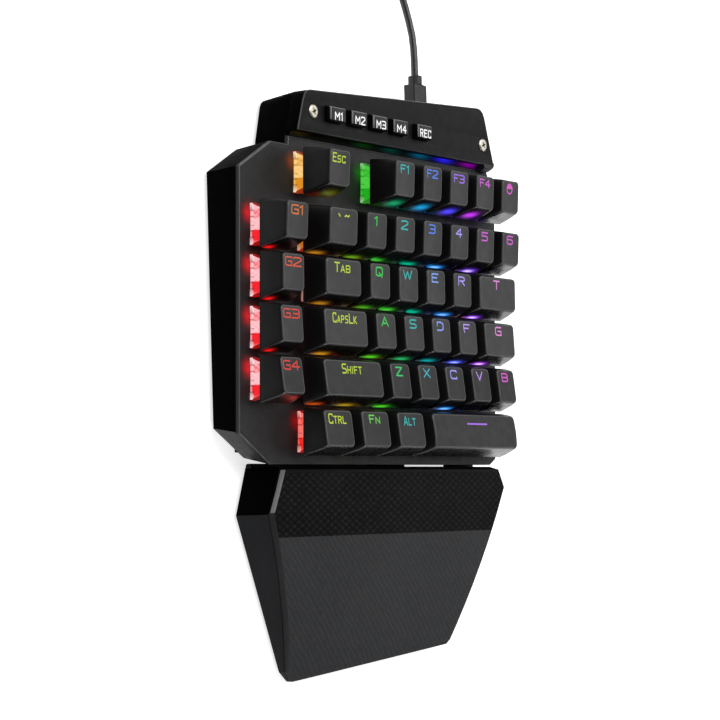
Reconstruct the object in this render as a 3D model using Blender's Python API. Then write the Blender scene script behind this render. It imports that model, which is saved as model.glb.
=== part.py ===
"""One-hand gaming keypad: a wedge-shaped case with 39 sculpted keycaps on switches, a raised
module with five macro buttons, a wrist rest that pulls off, and a fixed USB cable.

The layout is drawn in the deck's own frame: X runs to the right from the left edge of the macro
column, Y runs to the back from the number row, and Z is zero on the deck plate. An empty tilts
that frame on the table, and a second one moves it so that the origin is under the middle."""
import math

import bmesh
import bpy
from mathutils import Matrix, Vector

for old in list(bpy.data.objects):
    bpy.data.objects.remove(old, do_unlink=True)

mm = 0.001
degree = math.pi / 180

# Clearances
clearance = 0.3 * mm
cut_overrun = 2.0 * mm
weld_depth = 0.8 * mm

# Key grid
key_pitch = 19.05 * mm
macro_gap = 7.1 * mm
function_gap = 2.8 * mm
key_gap = 0.9 * mm
key_travel = 4.0 * mm

# Keycap
skirt_height = 5.4 * mm
top_side_inset = 2.9 * mm
top_length = 13.5 * mm
top_back_shift = 1.2 * mm
cap_wall = 1.0 * mm
cap_roof = 1.0 * mm
cap_corner = 1.6 * mm
cap_edge = 0.5 * mm
dish_depth = 0.5 * mm
space_crown = 0.5 * mm
dish_inner_share = 0.45
post_radius = 2.75 * mm
post_reach = 1.2 * mm
post_sides = 8

# Height of each row's top above the deck, at its back and front edge
number_back_height = 16.6 * mm
number_front_height = 16.1 * mm
upper_back_height = 14.4 * mm
upper_front_height = 14.6 * mm
home_back_height = 13.4 * mm
home_front_height = 14.4 * mm
lower_back_height = 13.1 * mm
lower_front_height = 15.1 * mm
row_heights = {
    "function": (number_back_height, number_front_height),
    "number": (number_back_height, number_front_height),
    "upper": (upper_back_height, upper_front_height),
    "home": (home_back_height, home_front_height),
    "lower": (lower_back_height, lower_front_height),
    "space": (lower_back_height, lower_front_height),
}

# Switch
switch_hole = 14.0 * mm
switch_body = 13.4 * mm
flange_width = 15.6 * mm
flange_height = 1.0 * mm
housing_shoulder = 14.0 * mm
housing_top = 9.2 * mm
housing_height = 6.6 * mm
bore_width = 6.2 * mm
bore_slack = 0.6 * mm
bore_depth = post_reach + key_travel + bore_slack

# Deck plate and case
plate_thickness = 1.6 * mm
left_margin = 4.6 * mm
right_margin = 3.4 * mm
front_margin = 12.4 * mm
rear_margin = 13.6 * mm
front_left_cut_width = 18.1 * mm
front_left_cut_depth = 11.5 * mm
rear_left_cut_width = 18.7 * mm
rear_left_cut_depth = 11.2 * mm
front_right_cut_width = 4.4 * mm
front_right_cut_depth = 2.6 * mm
rear_right_cut_width = 6.2 * mm
rear_right_cut_depth = 11.2 * mm
rear_left_step = 3.2 * mm
case_wall = 2.2 * mm
case_floor = 2.0 * mm
case_draft = 1.3 * mm
case_height = 15.2 * mm
wedge_angle = 2.0 * degree
board_depth = 5.0 * mm
board_thickness = 1.6 * mm
board_margin = 1.2 * mm

# Macro module
module_height = 4.5 * mm
module_roof = 1.8 * mm
module_wall = 1.8 * mm
module_groove = 1.9 * mm
module_sill = 0.5 * mm
module_edge = 0.4 * mm
module_left_margin = 29.3 * mm
module_right_margin = 6.95 * mm
module_depth_left = 17.9 * mm
module_depth_right = 25.4 * mm
module_taper_left = 4.5 * mm
module_taper_right = 8.6 * mm
module_corner = 4.0 * mm
module_corner_steps = 3

# Macro buttons
button_width = 10.0 * mm
button_depth = 5.7 * mm
button_rise = 2.8 * mm
button_edge = 0.5 * mm
button_flange = 1.1 * mm
button_flange_height = 0.8 * mm
button_travel = 0.6 * mm
button_line = 8.0 * mm
first_button = 22.2 * mm
button_pitch = 13.95 * mm
record_gap = 2.8 * mm
tact_width = 6.0 * mm
macro_board_thickness = 1.2 * mm
macro_board_margin = 0.9 * mm
tact_height = 1.7 * mm

# Module screws
left_screw_place = 9.7 * mm
right_screw_place = 9.05 * mm
screw_head_radius = 2.8 * mm
screw_head_height = 1.1 * mm
screw_recess = 0.9 * mm
screw_radius = 1.4 * mm
screw_bite = 7.0 * mm
boss_radius = 3.6 * mm
screw_sides = 12

# Cable outlet, cable and plug
outlet_place = 40.41 * mm
outlet_height = 11.0 * mm
outlet_width = 9.0 * mm
outlet_thickness = 5.8 * mm
outlet_flange = 1.4 * mm
outlet_flange_length = 1.6 * mm
outlet_block_length = 9.0 * mm
collar_radius = 3.0 * mm
collar_length = 3.8 * mm
outlet_corner = 0.5 * mm
cable_radius = 1.5 * mm
plug_width = 13.2 * mm
plug_thickness = 7.2 * mm
plug_length = 27.0 * mm
neck_width = 5.2 * mm
neck_length = 7.0 * mm
shell_width = 12.0 * mm
shell_thickness = 4.5 * mm
shell_length = 12.0 * mm
plug_corner = 1.0 * mm

# Wrist rest
rest_gap = 0.8 * mm
rest_rear_height = 17.3 * mm
rest_front_height = 4.8 * mm
rest_fall_power = 2.0
rest_wall = 2.2 * mm
rest_floor = 2.0 * mm
pad_thickness = 1.8 * mm
pad_edge = 1.3 * mm
tip_edge_share = 0.25
rest_depth = 81.0 * mm
rest_skew = 8.4 * mm
rest_rear_left_inset = 21.8 * mm
rest_wide_left_inset = 14.7 * mm
rest_wide_left_depth = 17.8 * mm
rest_rear_flare = 3.4 * mm
rest_wide_flare = 2.6 * mm
rest_front_left_inset = 39.8 * mm
rest_left_corner_width = 4.5 * mm
rest_left_corner_depth = 4.0 * mm
rest_rear_right_inset = 8.66 * mm
rest_shoulder_inset = 2.66 * mm
rest_shoulder_depth = 1.2 * mm
rest_overhang = 1.54 * mm
rest_wide_right_depth = 8.6 * mm
rest_front_right_inset = 31.16 * mm
rest_right_corner_width = 2.2 * mm
rest_right_corner_depth = 1.8 * mm
rest_tip = 1.0 * mm
rest_stations = 10
tab_inset = 15.95 * mm
tab_pitch = 51.65 * mm
tab_width = 18.8 * mm
tab_thickness = 2.4 * mm
tab_reach = 6.0 * mm
tab_height = 5.0 * mm
rest_travel = 30.0 * mm

# Feet
foot_height = 1.2 * mm
foot_width = 8.0 * mm
foot_inset = 14.0 * mm
front_foot_place = 9.0 * mm
rear_foot_place = 13.5 * mm
rest_foot_place = 8.0 * mm
rest_foot_inset = 12.0 * mm

# Keys as (name, left edge, width) in key units
key_rows = {
    "function": [("esc", 1, 1)] + [("f%d" % n, 2.25 + n, 1) for n in range(1, 5)] + [("light", 7.25, 1)],
    "number": [("g1", 0, 1), ("backquote", 1, 1.25)] + [("%d" % n, 1.25 + n, 1) for n in range(1, 7)],
    "upper": [("g2", 0, 1), ("tab", 1, 1.5)] + [(c, 2.5 + n, 1) for n, c in enumerate("qwer")] + [("t", 6.5, 1.75)],
    "home": [("g3", 0, 1), ("capslock", 1, 1.75)] + [(c, 2.75 + n, 1) for n, c in enumerate("asdf")] + [("g", 6.75, 1.5)],
    "lower": [("g4", 0, 1), ("shift", 1, 2.25)] + [(c, 3.25 + n, 1) for n, c in enumerate("zxcvb")],
    "space": [("ctrl", 1, 1.25), ("fn", 2.25, 1.25), ("alt", 3.5, 1.25), ("space", 4.75, 3.5)],
}
row_steps = {"function": 1, "number": 0, "upper": -1, "home": -2, "lower": -3, "space": -4}
columns_width = 8.25

# Places worked out from the sizes above
def row_y(row):
    return row_steps[row] * key_pitch + (function_gap if row == "function" else 0)


def column_x(units):
    return units * key_pitch + (macro_gap if units >= 1 else 0)


deck_left = -left_margin
deck_right = column_x(columns_width) + right_margin
deck_front = row_y("space") - front_margin
deck_rear = row_y("function") + rear_margin
module_front = deck_rear + module_groove
module_left = deck_left + module_left_margin
module_right = deck_right - module_right_margin
case_bottom = foot_height + clearance
deck_height = case_bottom + case_height
rest_rear = deck_front * math.cos(wedge_angle) - rest_gap
rest_front = rest_rear - rest_depth
rest_wide_right = deck_right + rest_overhang
tab_centres = (deck_right - tab_inset - tab_pitch, deck_right - tab_inset)
tilt = Matrix.Rotation(wedge_angle, 4, "X")
button_y = module_front + button_line


def deck_z(y, height):
    """Return the deck frame's Z at which a point at deck Y is this high over the table."""
    return (height - deck_height - y * math.sin(wedge_angle)) / math.cos(wedge_angle)


# Materials
def material(name, colour, metallic, roughness):
    made = bpy.data.materials.new(name)
    made.use_nodes = True
    shader = made.node_tree.nodes["Principled BSDF"]
    shader.inputs["Base Color"].default_value = (*colour, 1)
    shader.inputs["Metallic"].default_value = metallic
    shader.inputs["Roughness"].default_value = roughness
    return made


case_black = material("case_black_plastic", (0.012, 0.012, 0.013), 0, 0.45)
deck_black = material("deck_black_metal", (0.03, 0.03, 0.033), 0.3, 0.42)
cap_black = material("keycap_plastic", (0.035, 0.035, 0.037), 0, 0.5)
switch_clear = material("switch_housing", (0.75, 0.72, 0.7), 0, 0.25)
board_green = material("circuit_board", (0.01, 0.05, 0.02), 0, 0.5)
screw_metal = material("bright_steel", (0.7, 0.68, 0.64), 1, 0.28)
button_black = material("button_plastic", (0.02, 0.02, 0.021), 0, 0.4)
rest_black = material("wrist_rest_plastic", (0.016, 0.016, 0.018), 0, 0.5)
pad_black = material("wrist_rest_texture", (0.028, 0.028, 0.03), 0, 0.6)
cable_black = material("cable_rubber", (0.015, 0.015, 0.015), 0, 0.55)
rubber_black = material("foot_rubber", (0.02, 0.02, 0.02), 0, 0.8)


# Mesh helpers
def make_object(name, bm, finish, parent, place=(0, 0, 0)):
    bmesh.ops.recalc_face_normals(bm, faces=bm.faces)
    mesh = bpy.data.meshes.new(name)
    bm.to_mesh(mesh)
    bm.free()
    made = bpy.data.objects.new(name, mesh)
    bpy.context.scene.collection.objects.link(made)
    mesh.materials.append(finish)
    made.parent = parent
    made.location = place
    return made


def add_rings(bm, rings):
    """Join each ring of points to the next one and cap both ends, as one closed body."""
    loops = [[bm.verts.new(point) for point in ring] for ring in rings]
    for lower, upper in zip(loops, loops[1:]):
        for i in range(len(lower)):
            j = (i + 1) % len(lower)
            bm.faces.new((lower[i], lower[j], upper[j], upper[i]))
    caps = [bm.faces.new(loops[0]), bm.faces.new(loops[-1])]
    for cap in caps:
        cap.normal_update()
    bmesh.ops.triangulate(bm, faces=caps, ngon_method="EAR_CLIP")


def ring_object(name, rings, finish, parent, place=(0, 0, 0)):
    bm = bmesh.new()
    add_rings(bm, rings)
    return make_object(name, bm, finish, parent, place)


def box_ring(x0, x1, y0, y1, z):
    return [(x0, y0, z), (x1, y0, z), (x1, y1, z), (x0, y1, z)]


def add_box(bm, low, high):
    x0, y0, z0 = low
    x1, y1, z1 = high
    add_rings(bm, [box_ring(x0, x1, y0, y1, z0), box_ring(x0, x1, y0, y1, z1)])


def square_ring(width, z, x=0, y=0):
    half = width / 2
    return box_ring(x - half, x + half, y - half, y + half, z)


def cut_ring(half_x, half_y, corner, z_at, y_shift=0):
    """Return an eight-point rectangle with cut corners, its heights given by a function."""
    flat = [(half_x, corner - half_y), (half_x, half_y - corner), (half_x - corner, half_y),
            (corner - half_x, half_y), (-half_x, half_y - corner), (-half_x, corner - half_y),
            (corner - half_x, -half_y), (half_x - corner, -half_y)]
    return [(x, y + y_shift, z_at(x, y + y_shift)) for x, y in flat]


def round_ring(radius, sides, z, x=0, y=0):
    angles = [(i - 0.5) * math.tau / sides for i in range(sides)]
    return [(x + radius * math.cos(a), y + radius * math.sin(a), z) for a in angles]


def offset(outline, distance):
    """Move each side of an anticlockwise outline inward by the distance."""
    moved = []
    for i, (x, y) in enumerate(outline):
        before = Vector(outline[i - 1])
        here = Vector((x, y))
        after = Vector(outline[(i + 1) % len(outline)])
        a = (here - before).normalized()
        b = (after - here).normalized()
        normal_a = Vector((-a.y, a.x))
        normal_b = Vector((-b.y, b.x))
        mitre = (normal_a + normal_b) / (1 + normal_a.dot(normal_b))
        moved.append(tuple(here + mitre * distance))
    return moved


def rounded(outline, radius, steps, corners):
    """Replace the numbered corners of an outline by short curves."""
    result = []
    for i, point in enumerate(outline):
        if i not in corners:
            result.append(point)
            continue
        here = Vector(point)
        start = here + (Vector(outline[i - 1]) - here).normalized() * radius
        end = here + (Vector(outline[(i + 1) % len(outline)]) - here).normalized() * radius
        for k in range(steps + 1):
            t = k / steps
            result.append(tuple(start * (1 - t) ** 2 + here * 2 * t * (1 - t) + end * t ** 2))
    return result


def modify(target, kind, operand, name):
    """Cut or join an operand, which is hidden as a tool."""
    step = target.modifiers.new(name, "BOOLEAN")
    step.operation = kind
    step.solver = "EXACT"
    step.object = operand
    operand.hide_render = True
    operand.display_type = "WIRE"


# Frames
root = bpy.data.objects.new("table_frame", None)
deck = bpy.data.objects.new("deck_frame", None)
for empty in (root, deck):
    bpy.context.scene.collection.objects.link(empty)


def outlines():
    """Return the outlines of the deck plate, the module and the whole case, anticlockwise."""
    step_y = deck_rear - rear_left_step
    front_left = [(deck_left, deck_front + front_left_cut_depth), (deck_left + front_left_cut_width, deck_front)]
    front_right = [(deck_right - front_right_cut_width, deck_front), (deck_right, deck_front + front_right_cut_depth)]
    rear_right = [(deck_right, deck_rear - rear_right_cut_depth), (deck_right - rear_right_cut_width, deck_rear)]
    rear_left = [(module_left - clearance, step_y), (deck_left + rear_left_cut_width, step_y),
                 (deck_left, step_y - rear_left_cut_depth)]
    plate = front_left + front_right + rear_right + [(module_left, deck_rear)] + rear_left
    module = [(module_left, module_front), (module_right, module_front),
              (module_right - module_taper_right, deck_rear + module_depth_right),
              (module_left + module_taper_left, deck_rear + module_depth_left)]
    rear = rounded(module, module_corner, module_corner_steps, (2, 3))[2:]
    module = module[:2] + rear
    case = front_left + front_right + rear_right + [(module_right, module_front)] + rear
    case += [(module_left, deck_rear)] + rear_left
    return plate, module, case


plate_outline, module_outline, case_outline = outlines()


# Keycaps
def key_centre(row, left, width):
    return column_x(left) + width * key_pitch / 2, row_y(row)


def make_keycap(name, row, left, width):
    """Hollow cap whose top leans with its row, with the post that slides in the switch."""
    back, front = row_heights[row]
    x, y = key_centre(row, left, width)
    base_x = (width * key_pitch - key_gap) / 2
    base_y = (key_pitch - key_gap) / 2
    top_x = base_x - top_side_inset
    top_y = top_length / 2
    lean = (back - front) / top_length
    crowned = name == "space"

    def top(px, py):
        across = (px / top_x) ** 2
        along = ((py - top_back_shift) / top_y) ** 2
        level = (back + front) / 2 + lean * (py - top_back_shift)
        return level + space_crown * (1 - along) if crowned else level - dish_depth * (1 - across)

    roof = min(back, front) - dish_depth - cap_roof
    inner_y = top_y - 2 * cap_edge
    rings = [
        round_ring(post_radius, post_sides, housing_height - post_reach),
        round_ring(post_radius, post_sides, roof),
        cut_ring(top_x - cap_wall, top_y - cap_wall, cap_corner - cap_edge, lambda px, py: roof, top_back_shift),
        cut_ring(base_x - cap_wall, base_y - cap_wall, cap_corner - cap_edge, lambda px, py: skirt_height),
        cut_ring(base_x, base_y, cap_corner, lambda px, py: skirt_height),
        cut_ring(top_x, top_y, cap_corner, lambda px, py: top(px, py) - cap_edge, top_back_shift),
        cut_ring(top_x - cap_edge, top_y - cap_edge, cap_corner, top, top_back_shift),
        cut_ring((top_x - cap_edge) * dish_inner_share, inner_y, cap_edge, top, top_back_shift),
    ]
    return ring_object("keycap_" + name, rings, cap_black, deck, (x, y, 0))


# Switch board
def add_housing(bm, x, y):
    """Open-topped switch housing: bore, shoulder, flange over the deck and body down to the board."""
    add_rings(bm, [
        square_ring(bore_width, housing_height - bore_depth, x, y),
        square_ring(bore_width, housing_height, x, y),
        square_ring(housing_top, housing_height, x, y),
        square_ring(housing_shoulder, flange_height, x, y),
        square_ring(flange_width, flange_height, x, y),
        square_ring(flange_width, clearance, x, y),
        square_ring(switch_body, clearance, x, y),
        square_ring(switch_body, -board_depth - weld_depth, x, y),
    ])


def make_switch_board(centres):
    outline = offset(plate_outline, case_wall + board_margin)
    top, bottom = -board_depth, -board_depth - board_thickness
    board = ring_object("switch_board", [[(x, y, z) for x, y in outline] for z in (bottom, top)],
                        board_green, deck)
    bm = bmesh.new()
    for x, y in centres:
        add_housing(bm, x, y)
    modify(board, "UNION", make_object("tool_housings", bm, switch_clear, deck), "housings")


def make_top_plate(centres):
    plate = ring_object("top_plate", [[(x, y, z) for x, y in plate_outline] for z in (-plate_thickness, 0)],
                        deck_black, deck)
    bm = bmesh.new()
    half = switch_hole / 2
    for x, y in centres:
        add_box(bm, (x - half, y - half, -plate_thickness - cut_overrun), (x + half, y + half, cut_overrun))
    modify(plate, "DIFFERENCE", make_object("tool_switch_holes", bm, deck_black, deck), "switch_holes")


# Macro module heights, from the roof down
roof_under = module_height - module_roof
flange_top = roof_under - clearance
flange_bottom = flange_top - button_flange_height
tact_top = flange_bottom - button_travel - clearance
macro_board_top = tact_top - tact_height
boss_top = macro_board_top - macro_board_thickness - clearance
screw_floor = module_height - screw_recess
screw_centres = [(module_left + left_screw_place, button_y), (module_right - right_screw_place, button_y)]
button_centres = [(module_left + first_button + n * button_pitch + (record_gap if n == 4 else 0), button_y)
                  for n in range(5)]


def make_module_cover():
    inner = offset(module_outline, module_wall)
    rings = [
        [(x, y, roof_under) for x, y in inner],
        [(x, y, -plate_thickness) for x, y in inner],
        [(x, y, -plate_thickness) for x, y in module_outline],
        [(x, y, module_height - module_edge) for x, y in module_outline],
        [(x, y, module_height) for x, y in offset(module_outline, module_edge)],
    ]
    cover = ring_object("module_cover", rings, case_black, deck)
    sill = bmesh.new()
    add_box(sill, (module_left + module_wall, deck_rear + clearance, -plate_thickness + clearance),
            (module_right - module_wall, module_front + module_wall / 2, -module_sill))
    modify(cover, "UNION", make_object("tool_sill", sill, case_black, deck), "sill")
    holes = bmesh.new()
    half_x = button_width / 2 + clearance
    half_y = button_depth / 2 + clearance
    for x, y in button_centres:
        add_box(holes, (x - half_x, y - half_y, roof_under - cut_overrun),
                (x + half_x, y + half_y, module_height + cut_overrun))
    for x, y in screw_centres:
        add_rings(holes, [round_ring(screw_radius + clearance, screw_sides, roof_under - cut_overrun, x, y),
                          round_ring(screw_radius + clearance, screw_sides, screw_floor, x, y),
                          round_ring(screw_head_radius + clearance, screw_sides, screw_floor, x, y),
                          round_ring(screw_head_radius + clearance, screw_sides, module_height + cut_overrun, x, y)])
    modify(cover, "DIFFERENCE", make_object("tool_module_holes", holes, case_black, deck), "module_holes")


def make_macro_board():
    outline = offset(module_outline, case_wall + macro_board_margin)
    levels = (macro_board_top - macro_board_thickness, macro_board_top)
    board = ring_object("macro_board", [[(x, y, z) for x, y in outline] for z in levels], board_green, deck)
    switches = bmesh.new()
    for x, y in button_centres:
        add_rings(switches, [square_ring(tact_width, z, x, y) for z in (macro_board_top - weld_depth, tact_top)])
    modify(board, "UNION", make_object("tool_tact_switches", switches, case_black, deck), "tact_switches")
    holes = bmesh.new()
    for x, y in screw_centres:
        add_rings(holes, [round_ring(screw_radius + clearance, screw_sides, level, x, y)
                          for level in (levels[0] - cut_overrun, levels[1] + cut_overrun)])
    modify(board, "DIFFERENCE", make_object("tool_board_holes", holes, board_green, deck), "screw_holes")


def make_button(name, x, y):
    """Macro button held under the roof by its flange."""
    half_x, half_y = button_width / 2, button_depth / 2
    wide_x, wide_y = half_x + button_flange, half_y + button_flange
    top = module_height + button_rise
    rings = [
        box_ring(-wide_x, wide_x, -wide_y, wide_y, flange_bottom),
        box_ring(-wide_x, wide_x, -wide_y, wide_y, flange_top),
        box_ring(-half_x, half_x, -half_y, half_y, flange_top),
        box_ring(-half_x, half_x, -half_y, half_y, top - button_edge),
        box_ring(button_edge - half_x, half_x - button_edge, button_edge - half_y, half_y - button_edge, top),
    ]
    ring_object("button_" + name, rings, button_black, deck, (x, y, 0))


def make_screw(name, x, y):
    seat = screw_floor + clearance
    rings = [round_ring(screw_radius, screw_sides, boss_top - screw_bite), round_ring(screw_radius, screw_sides, seat),
             round_ring(screw_head_radius, screw_sides, seat), round_ring(screw_head_radius, screw_sides, seat + screw_head_height)]
    ring_object(name, rings, screw_metal, deck, (x, y, 0))


# Case
def rear_wall_y(x):
    """Return the deck frame's Y of the module's rear edge at this X."""
    start = module_left + module_taper_left
    end = module_right - module_taper_right
    share = (x - start) / (end - start)
    return deck_rear + module_depth_left * (1 - share) + module_depth_right * share


outlet_x = module_right - outlet_place
outlet_wall = rear_wall_y(outlet_x)
outlet_end = outlet_wall + outlet_block_length + collar_length


def make_bottom_case():
    rim = -plate_thickness - clearance
    low = offset(case_outline, case_draft)
    inner_low = offset(case_outline, case_wall + case_draft)
    rings = [
        [(x, y, deck_z(y, case_bottom + case_floor)) for x, y in inner_low],
        [(x, y, rim) for x, y in offset(case_outline, case_wall)],
        [(x, y, rim) for x, y in case_outline],
        [(x, y, deck_z(y, case_bottom)) for x, y in low],
    ]
    case = ring_object("bottom_case", rings, case_black, deck)
    bosses = bmesh.new()
    for x, y in screw_centres:
        foot = deck_z(y, case_bottom + case_floor / 2)
        add_rings(bosses, [round_ring(boss_radius, screw_sides, z, x, y) for z in (foot, boss_top)])
    modify(case, "UNION", make_object("tool_bosses", bosses, case_black, deck), "bosses")
    holes = bmesh.new()
    for x, y in screw_centres:
        add_rings(holes, [round_ring(screw_radius + clearance, screw_sides, z, x, y)
                          for z in (boss_top - screw_bite - clearance, boss_top + cut_overrun)])
    modify(case, "DIFFERENCE", make_object("tool_boss_holes", holes, case_black, deck), "boss_holes")
    slots = bmesh.new()
    half_x = outlet_width / 2 + clearance
    half_z = outlet_thickness / 2 + clearance
    reach = case_wall + case_draft + cut_overrun
    add_box(slots, (outlet_x - half_x, outlet_wall - reach, outlet_height - half_z),
            (outlet_x + half_x, outlet_wall + cut_overrun, outlet_height + half_z))
    for x in tab_centres:
        half = tab_width / 2 + clearance
        half_z = tab_thickness / 2 + clearance
        add_box(slots, (x - half, deck_front - cut_overrun, tab_height - half_z),
                (x + half, deck_front + reach, tab_height + half_z))
    modify(case, "DIFFERENCE", make_object("tool_case_slots", slots, case_black, root), "slots")


def make_foot(name, x0, x1, y):
    bm = bmesh.new()
    add_box(bm, (x0, y - foot_width / 2, 0), (x1, y + foot_width / 2, foot_height))
    make_object(name, bm, rubber_black, root)


def lying(ring):
    """Turn a ring that was drawn flat so that its height runs along Y."""
    return [(u, w, v) for u, v, w in ring]


def make_strain_relief():
    half_x, half_z = outlet_width / 2, outlet_thickness / 2
    flange_end = outlet_wall - case_wall - case_draft - clearance
    steps = [
        (half_x + outlet_flange, half_z + outlet_flange, flange_end - outlet_flange_length),
        (half_x + outlet_flange, half_z + outlet_flange, flange_end),
        (half_x, half_z, flange_end),
        (half_x, half_z, outlet_wall + outlet_block_length),
    ]
    rings = [lying(cut_ring(a, b, outlet_corner, lambda px, py, w=w: w)) for a, b, w in steps]
    rings += [lying(round_ring(collar_radius, post_sides, w)) for w in (outlet_wall + outlet_block_length, outlet_end)]
    ring_object("strain_relief", rings, cable_black, root, (outlet_x, 0, outlet_height))


# Wrist rest
def rest_edges():
    """Return the left and right edge of the rest as (depth from its rear edge, X)."""
    front_left = deck_left + rest_front_left_inset
    front_right = deck_right - rest_front_right_inset
    left = [(0, deck_left + rest_rear_left_inset), (rest_wide_left_depth, deck_left + rest_wide_left_inset),
            (rest_depth - rest_left_corner_depth, front_left - rest_left_corner_width), (rest_depth, front_left)]
    right = [(0, deck_right - rest_rear_right_inset), (rest_shoulder_depth, deck_right - rest_shoulder_inset),
             (rest_wide_right_depth, rest_wide_right),
             (rest_depth - rest_skew - rest_right_corner_depth, front_right + rest_right_corner_width),
             (rest_depth - rest_skew, front_right), (rest_depth, front_left + rest_tip)]
    return left, right


def read_edge(edge, depth):
    for (d0, x0), (d1, x1) in zip(edge, edge[1:]):
        if depth <= d1:
            return x0 + (x1 - x0) * (depth - d0) / (d1 - d0)
    return edge[-1][1]


def rest_top(depth):
    fall = (depth / rest_depth) ** rest_fall_power
    return rest_rear_height - (rest_rear_height - rest_front_height) * fall


def rest_depths():
    left, right = rest_edges()
    own = {depth for depth, x in left + right}
    even = {rest_depth * n / rest_stations for n in range(rest_stations + 1)}
    spaced = sorted(own | {d for d in even if min(abs(d - o) for o in own) > pad_thickness})
    return spaced


def make_wrist_rest():
    left, right = rest_edges()
    flares = [(0, rest_rear_flare), (rest_wide_left_depth, rest_wide_flare), (rest_depth, 0)]
    rings = []
    for depth in rest_depths():
        x0, x1 = read_edge(left, depth), read_edge(right, depth)
        foot = x0 - read_edge(flares, depth)
        y = rest_rear - depth
        top = rest_top(depth) - pad_thickness - clearance
        rings.append([(foot, y, case_bottom), (x1, y, case_bottom), (x1, y, top), (x0, y, top)])
    rest = ring_object("wrist_rest", rings, rest_black, root)
    corners = left + right[-2::-1]
    outline = [(x, rest_rear - depth) for depth, x in corners]
    room = [[(x, y, z) for x, y in offset(outline, rest_wall)]
            for z in (case_bottom + rest_floor, rest_rear_height + cut_overrun)]
    modify(rest, "DIFFERENCE", ring_object("tool_rest_room", room, rest_black, root), "room")
    tabs = bmesh.new()
    for x in tab_centres:
        add_box(tabs, (x - tab_width / 2, rest_rear - rest_wall / 2, tab_height - tab_thickness / 2),
                (x + tab_width / 2, rest_rear + tab_reach, tab_height + tab_thickness / 2))
    modify(rest, "UNION", make_object("tool_tabs", tabs, rest_black, root), "tabs")


def make_wrist_rest_pad():
    """Top shell of the rest, with its edges bevelled."""
    left, right = rest_edges()
    depths = rest_depths()
    edge_depths = [pad_edge, rest_depth - pad_edge]
    rings = []
    for depth in sorted(depths + edge_depths):
        x0, x1 = read_edge(left, depth), read_edge(right, depth)
        y = rest_rear - depth
        top = rest_top(depth)
        at_end = depth in (0, rest_depth)
        edge = min(pad_edge, (x1 - x0) * tip_edge_share)
        crown = top - pad_edge / 2 if at_end else top
        rings.append([(x0, y, top - pad_thickness), (x1, y, top - pad_thickness), (x1, y, top - pad_edge),
                      (x1 - edge, y, crown), (x0 + edge, y, crown), (x0, y, top - pad_edge)])
    ring_object("wrist_rest_pad", rings, pad_black, root)


# Cable, coil and plug, on a route in the part's own frame
origin_x = (deck_left + rest_wide_right) / 2
origin_y = (rest_front + outlet_end) / 2
root.location = (-origin_x, -origin_y, 0)
deck.parent = root
deck.location = (0, 0, deck_height)
deck.rotation_euler = (wedge_angle, 0, 0)

cable_float = 0.05 * mm
cable_lie = cable_radius + cable_float
cable_step = 6.0 * mm
feed_end = 188.0 * mm
coil_run = 3.0 * mm
coil_pitch = 3.45 * mm
coil_radius = 18.0 * mm
coil_layers = 4
turns_per_layer = 3
loop_points = 24
climb_turns = 0.5
tail_radius = 32.0 * mm
tail_turns = 0.25
tail_points = 8
tail_spread_share = 0.7
tail_drop_share = 0.3
plug_lie = 4.0 * mm
cable_exit = (outlet_x - origin_x, outlet_end - origin_y + clearance, outlet_height)
cable_route = [
    (38.0 * mm, 128.0 * mm, 11.0 * mm),
    (38.0 * mm, 138.0 * mm, 10.3 * mm),
    (38.0 * mm, 150.0 * mm, 7.4 * mm),
    (38.0 * mm, 162.0 * mm, 3.8 * mm),
    (38.0 * mm, 172.0 * mm, 1.9 * mm),
    (38.0 * mm, 180.0 * mm, 1.55 * mm),
]
coil_start = (cable_route[-1][0], feed_end + clearance, cable_lie)


def smooth_route(points, step):
    """Read points at an even step from a smooth curve through the route's own points."""
    ends = [Vector(p) for p in points]
    ends = [ends[0] * 2 - ends[1]] + ends + [ends[-1] * 2 - ends[-2]]
    route = []
    for a, b, c, d in zip(ends, ends[1:], ends[2:], ends[3:]):
        parts = max(1, round((c - b).length / step))
        for k in range(parts):
            t = k / parts
            route.append(((b * 2) + (c - a) * t + (a * 2 - b * 5 + c * 4 - d) * t ** 2
                          + (b * 3 - a - c * 3 + d) * t ** 3) / 2)
    return route + [ends[-2]]


def ease(share):
    share = min(1, max(0, share))
    return share * share * (3 - 2 * share)


def coil_place(turn):
    """Return radius and height: layers spiral in and out, and climb where the spiral reverses."""
    layer = min(int(turn / turns_per_layer), coil_layers - 1)
    within = turn - layer * turns_per_layer
    spread = coil_pitch * turns_per_layer / 2
    sign = 1 if layer % 2 == 0 else -1
    radius = coil_radius + sign * (spread - coil_pitch * within)
    height = cable_lie
    for reverse in range(1, coil_layers):
        begin = reverse * turns_per_layer - climb_turns / 2
        height += coil_pitch * min(1, max(0, (turn - begin) / climb_turns))
    return radius, height


def coil_points():
    turns = coil_layers * turns_per_layer
    first_radius = coil_place(0)[0]
    middle = Vector((coil_start[0] - first_radius, coil_start[1] + coil_run, 0))
    points = [Vector(coil_start)]
    for i in range(turns * loop_points + 1):
        turn = i / loop_points
        radius, height = coil_place(turn)
        angle = turn * math.tau
        points.append(middle + Vector((radius * math.cos(angle), radius * math.sin(angle), height)))
    last_radius, last_height = coil_place(turns)
    for k in range(1, tail_points + 1):
        share = k / tail_points
        angle = share * tail_turns * math.tau
        radius = last_radius + (tail_radius - last_radius) * ease(share / tail_spread_share)
        height = last_height + (plug_lie - last_height) * ease((share - tail_drop_share) / (1 - tail_drop_share))
        points.append(middle + Vector((radius * math.cos(angle), radius * math.sin(angle), height)))
    points.append(points[-1] - Vector((2 * cable_radius, 0, 0)))
    return points, middle


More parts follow.
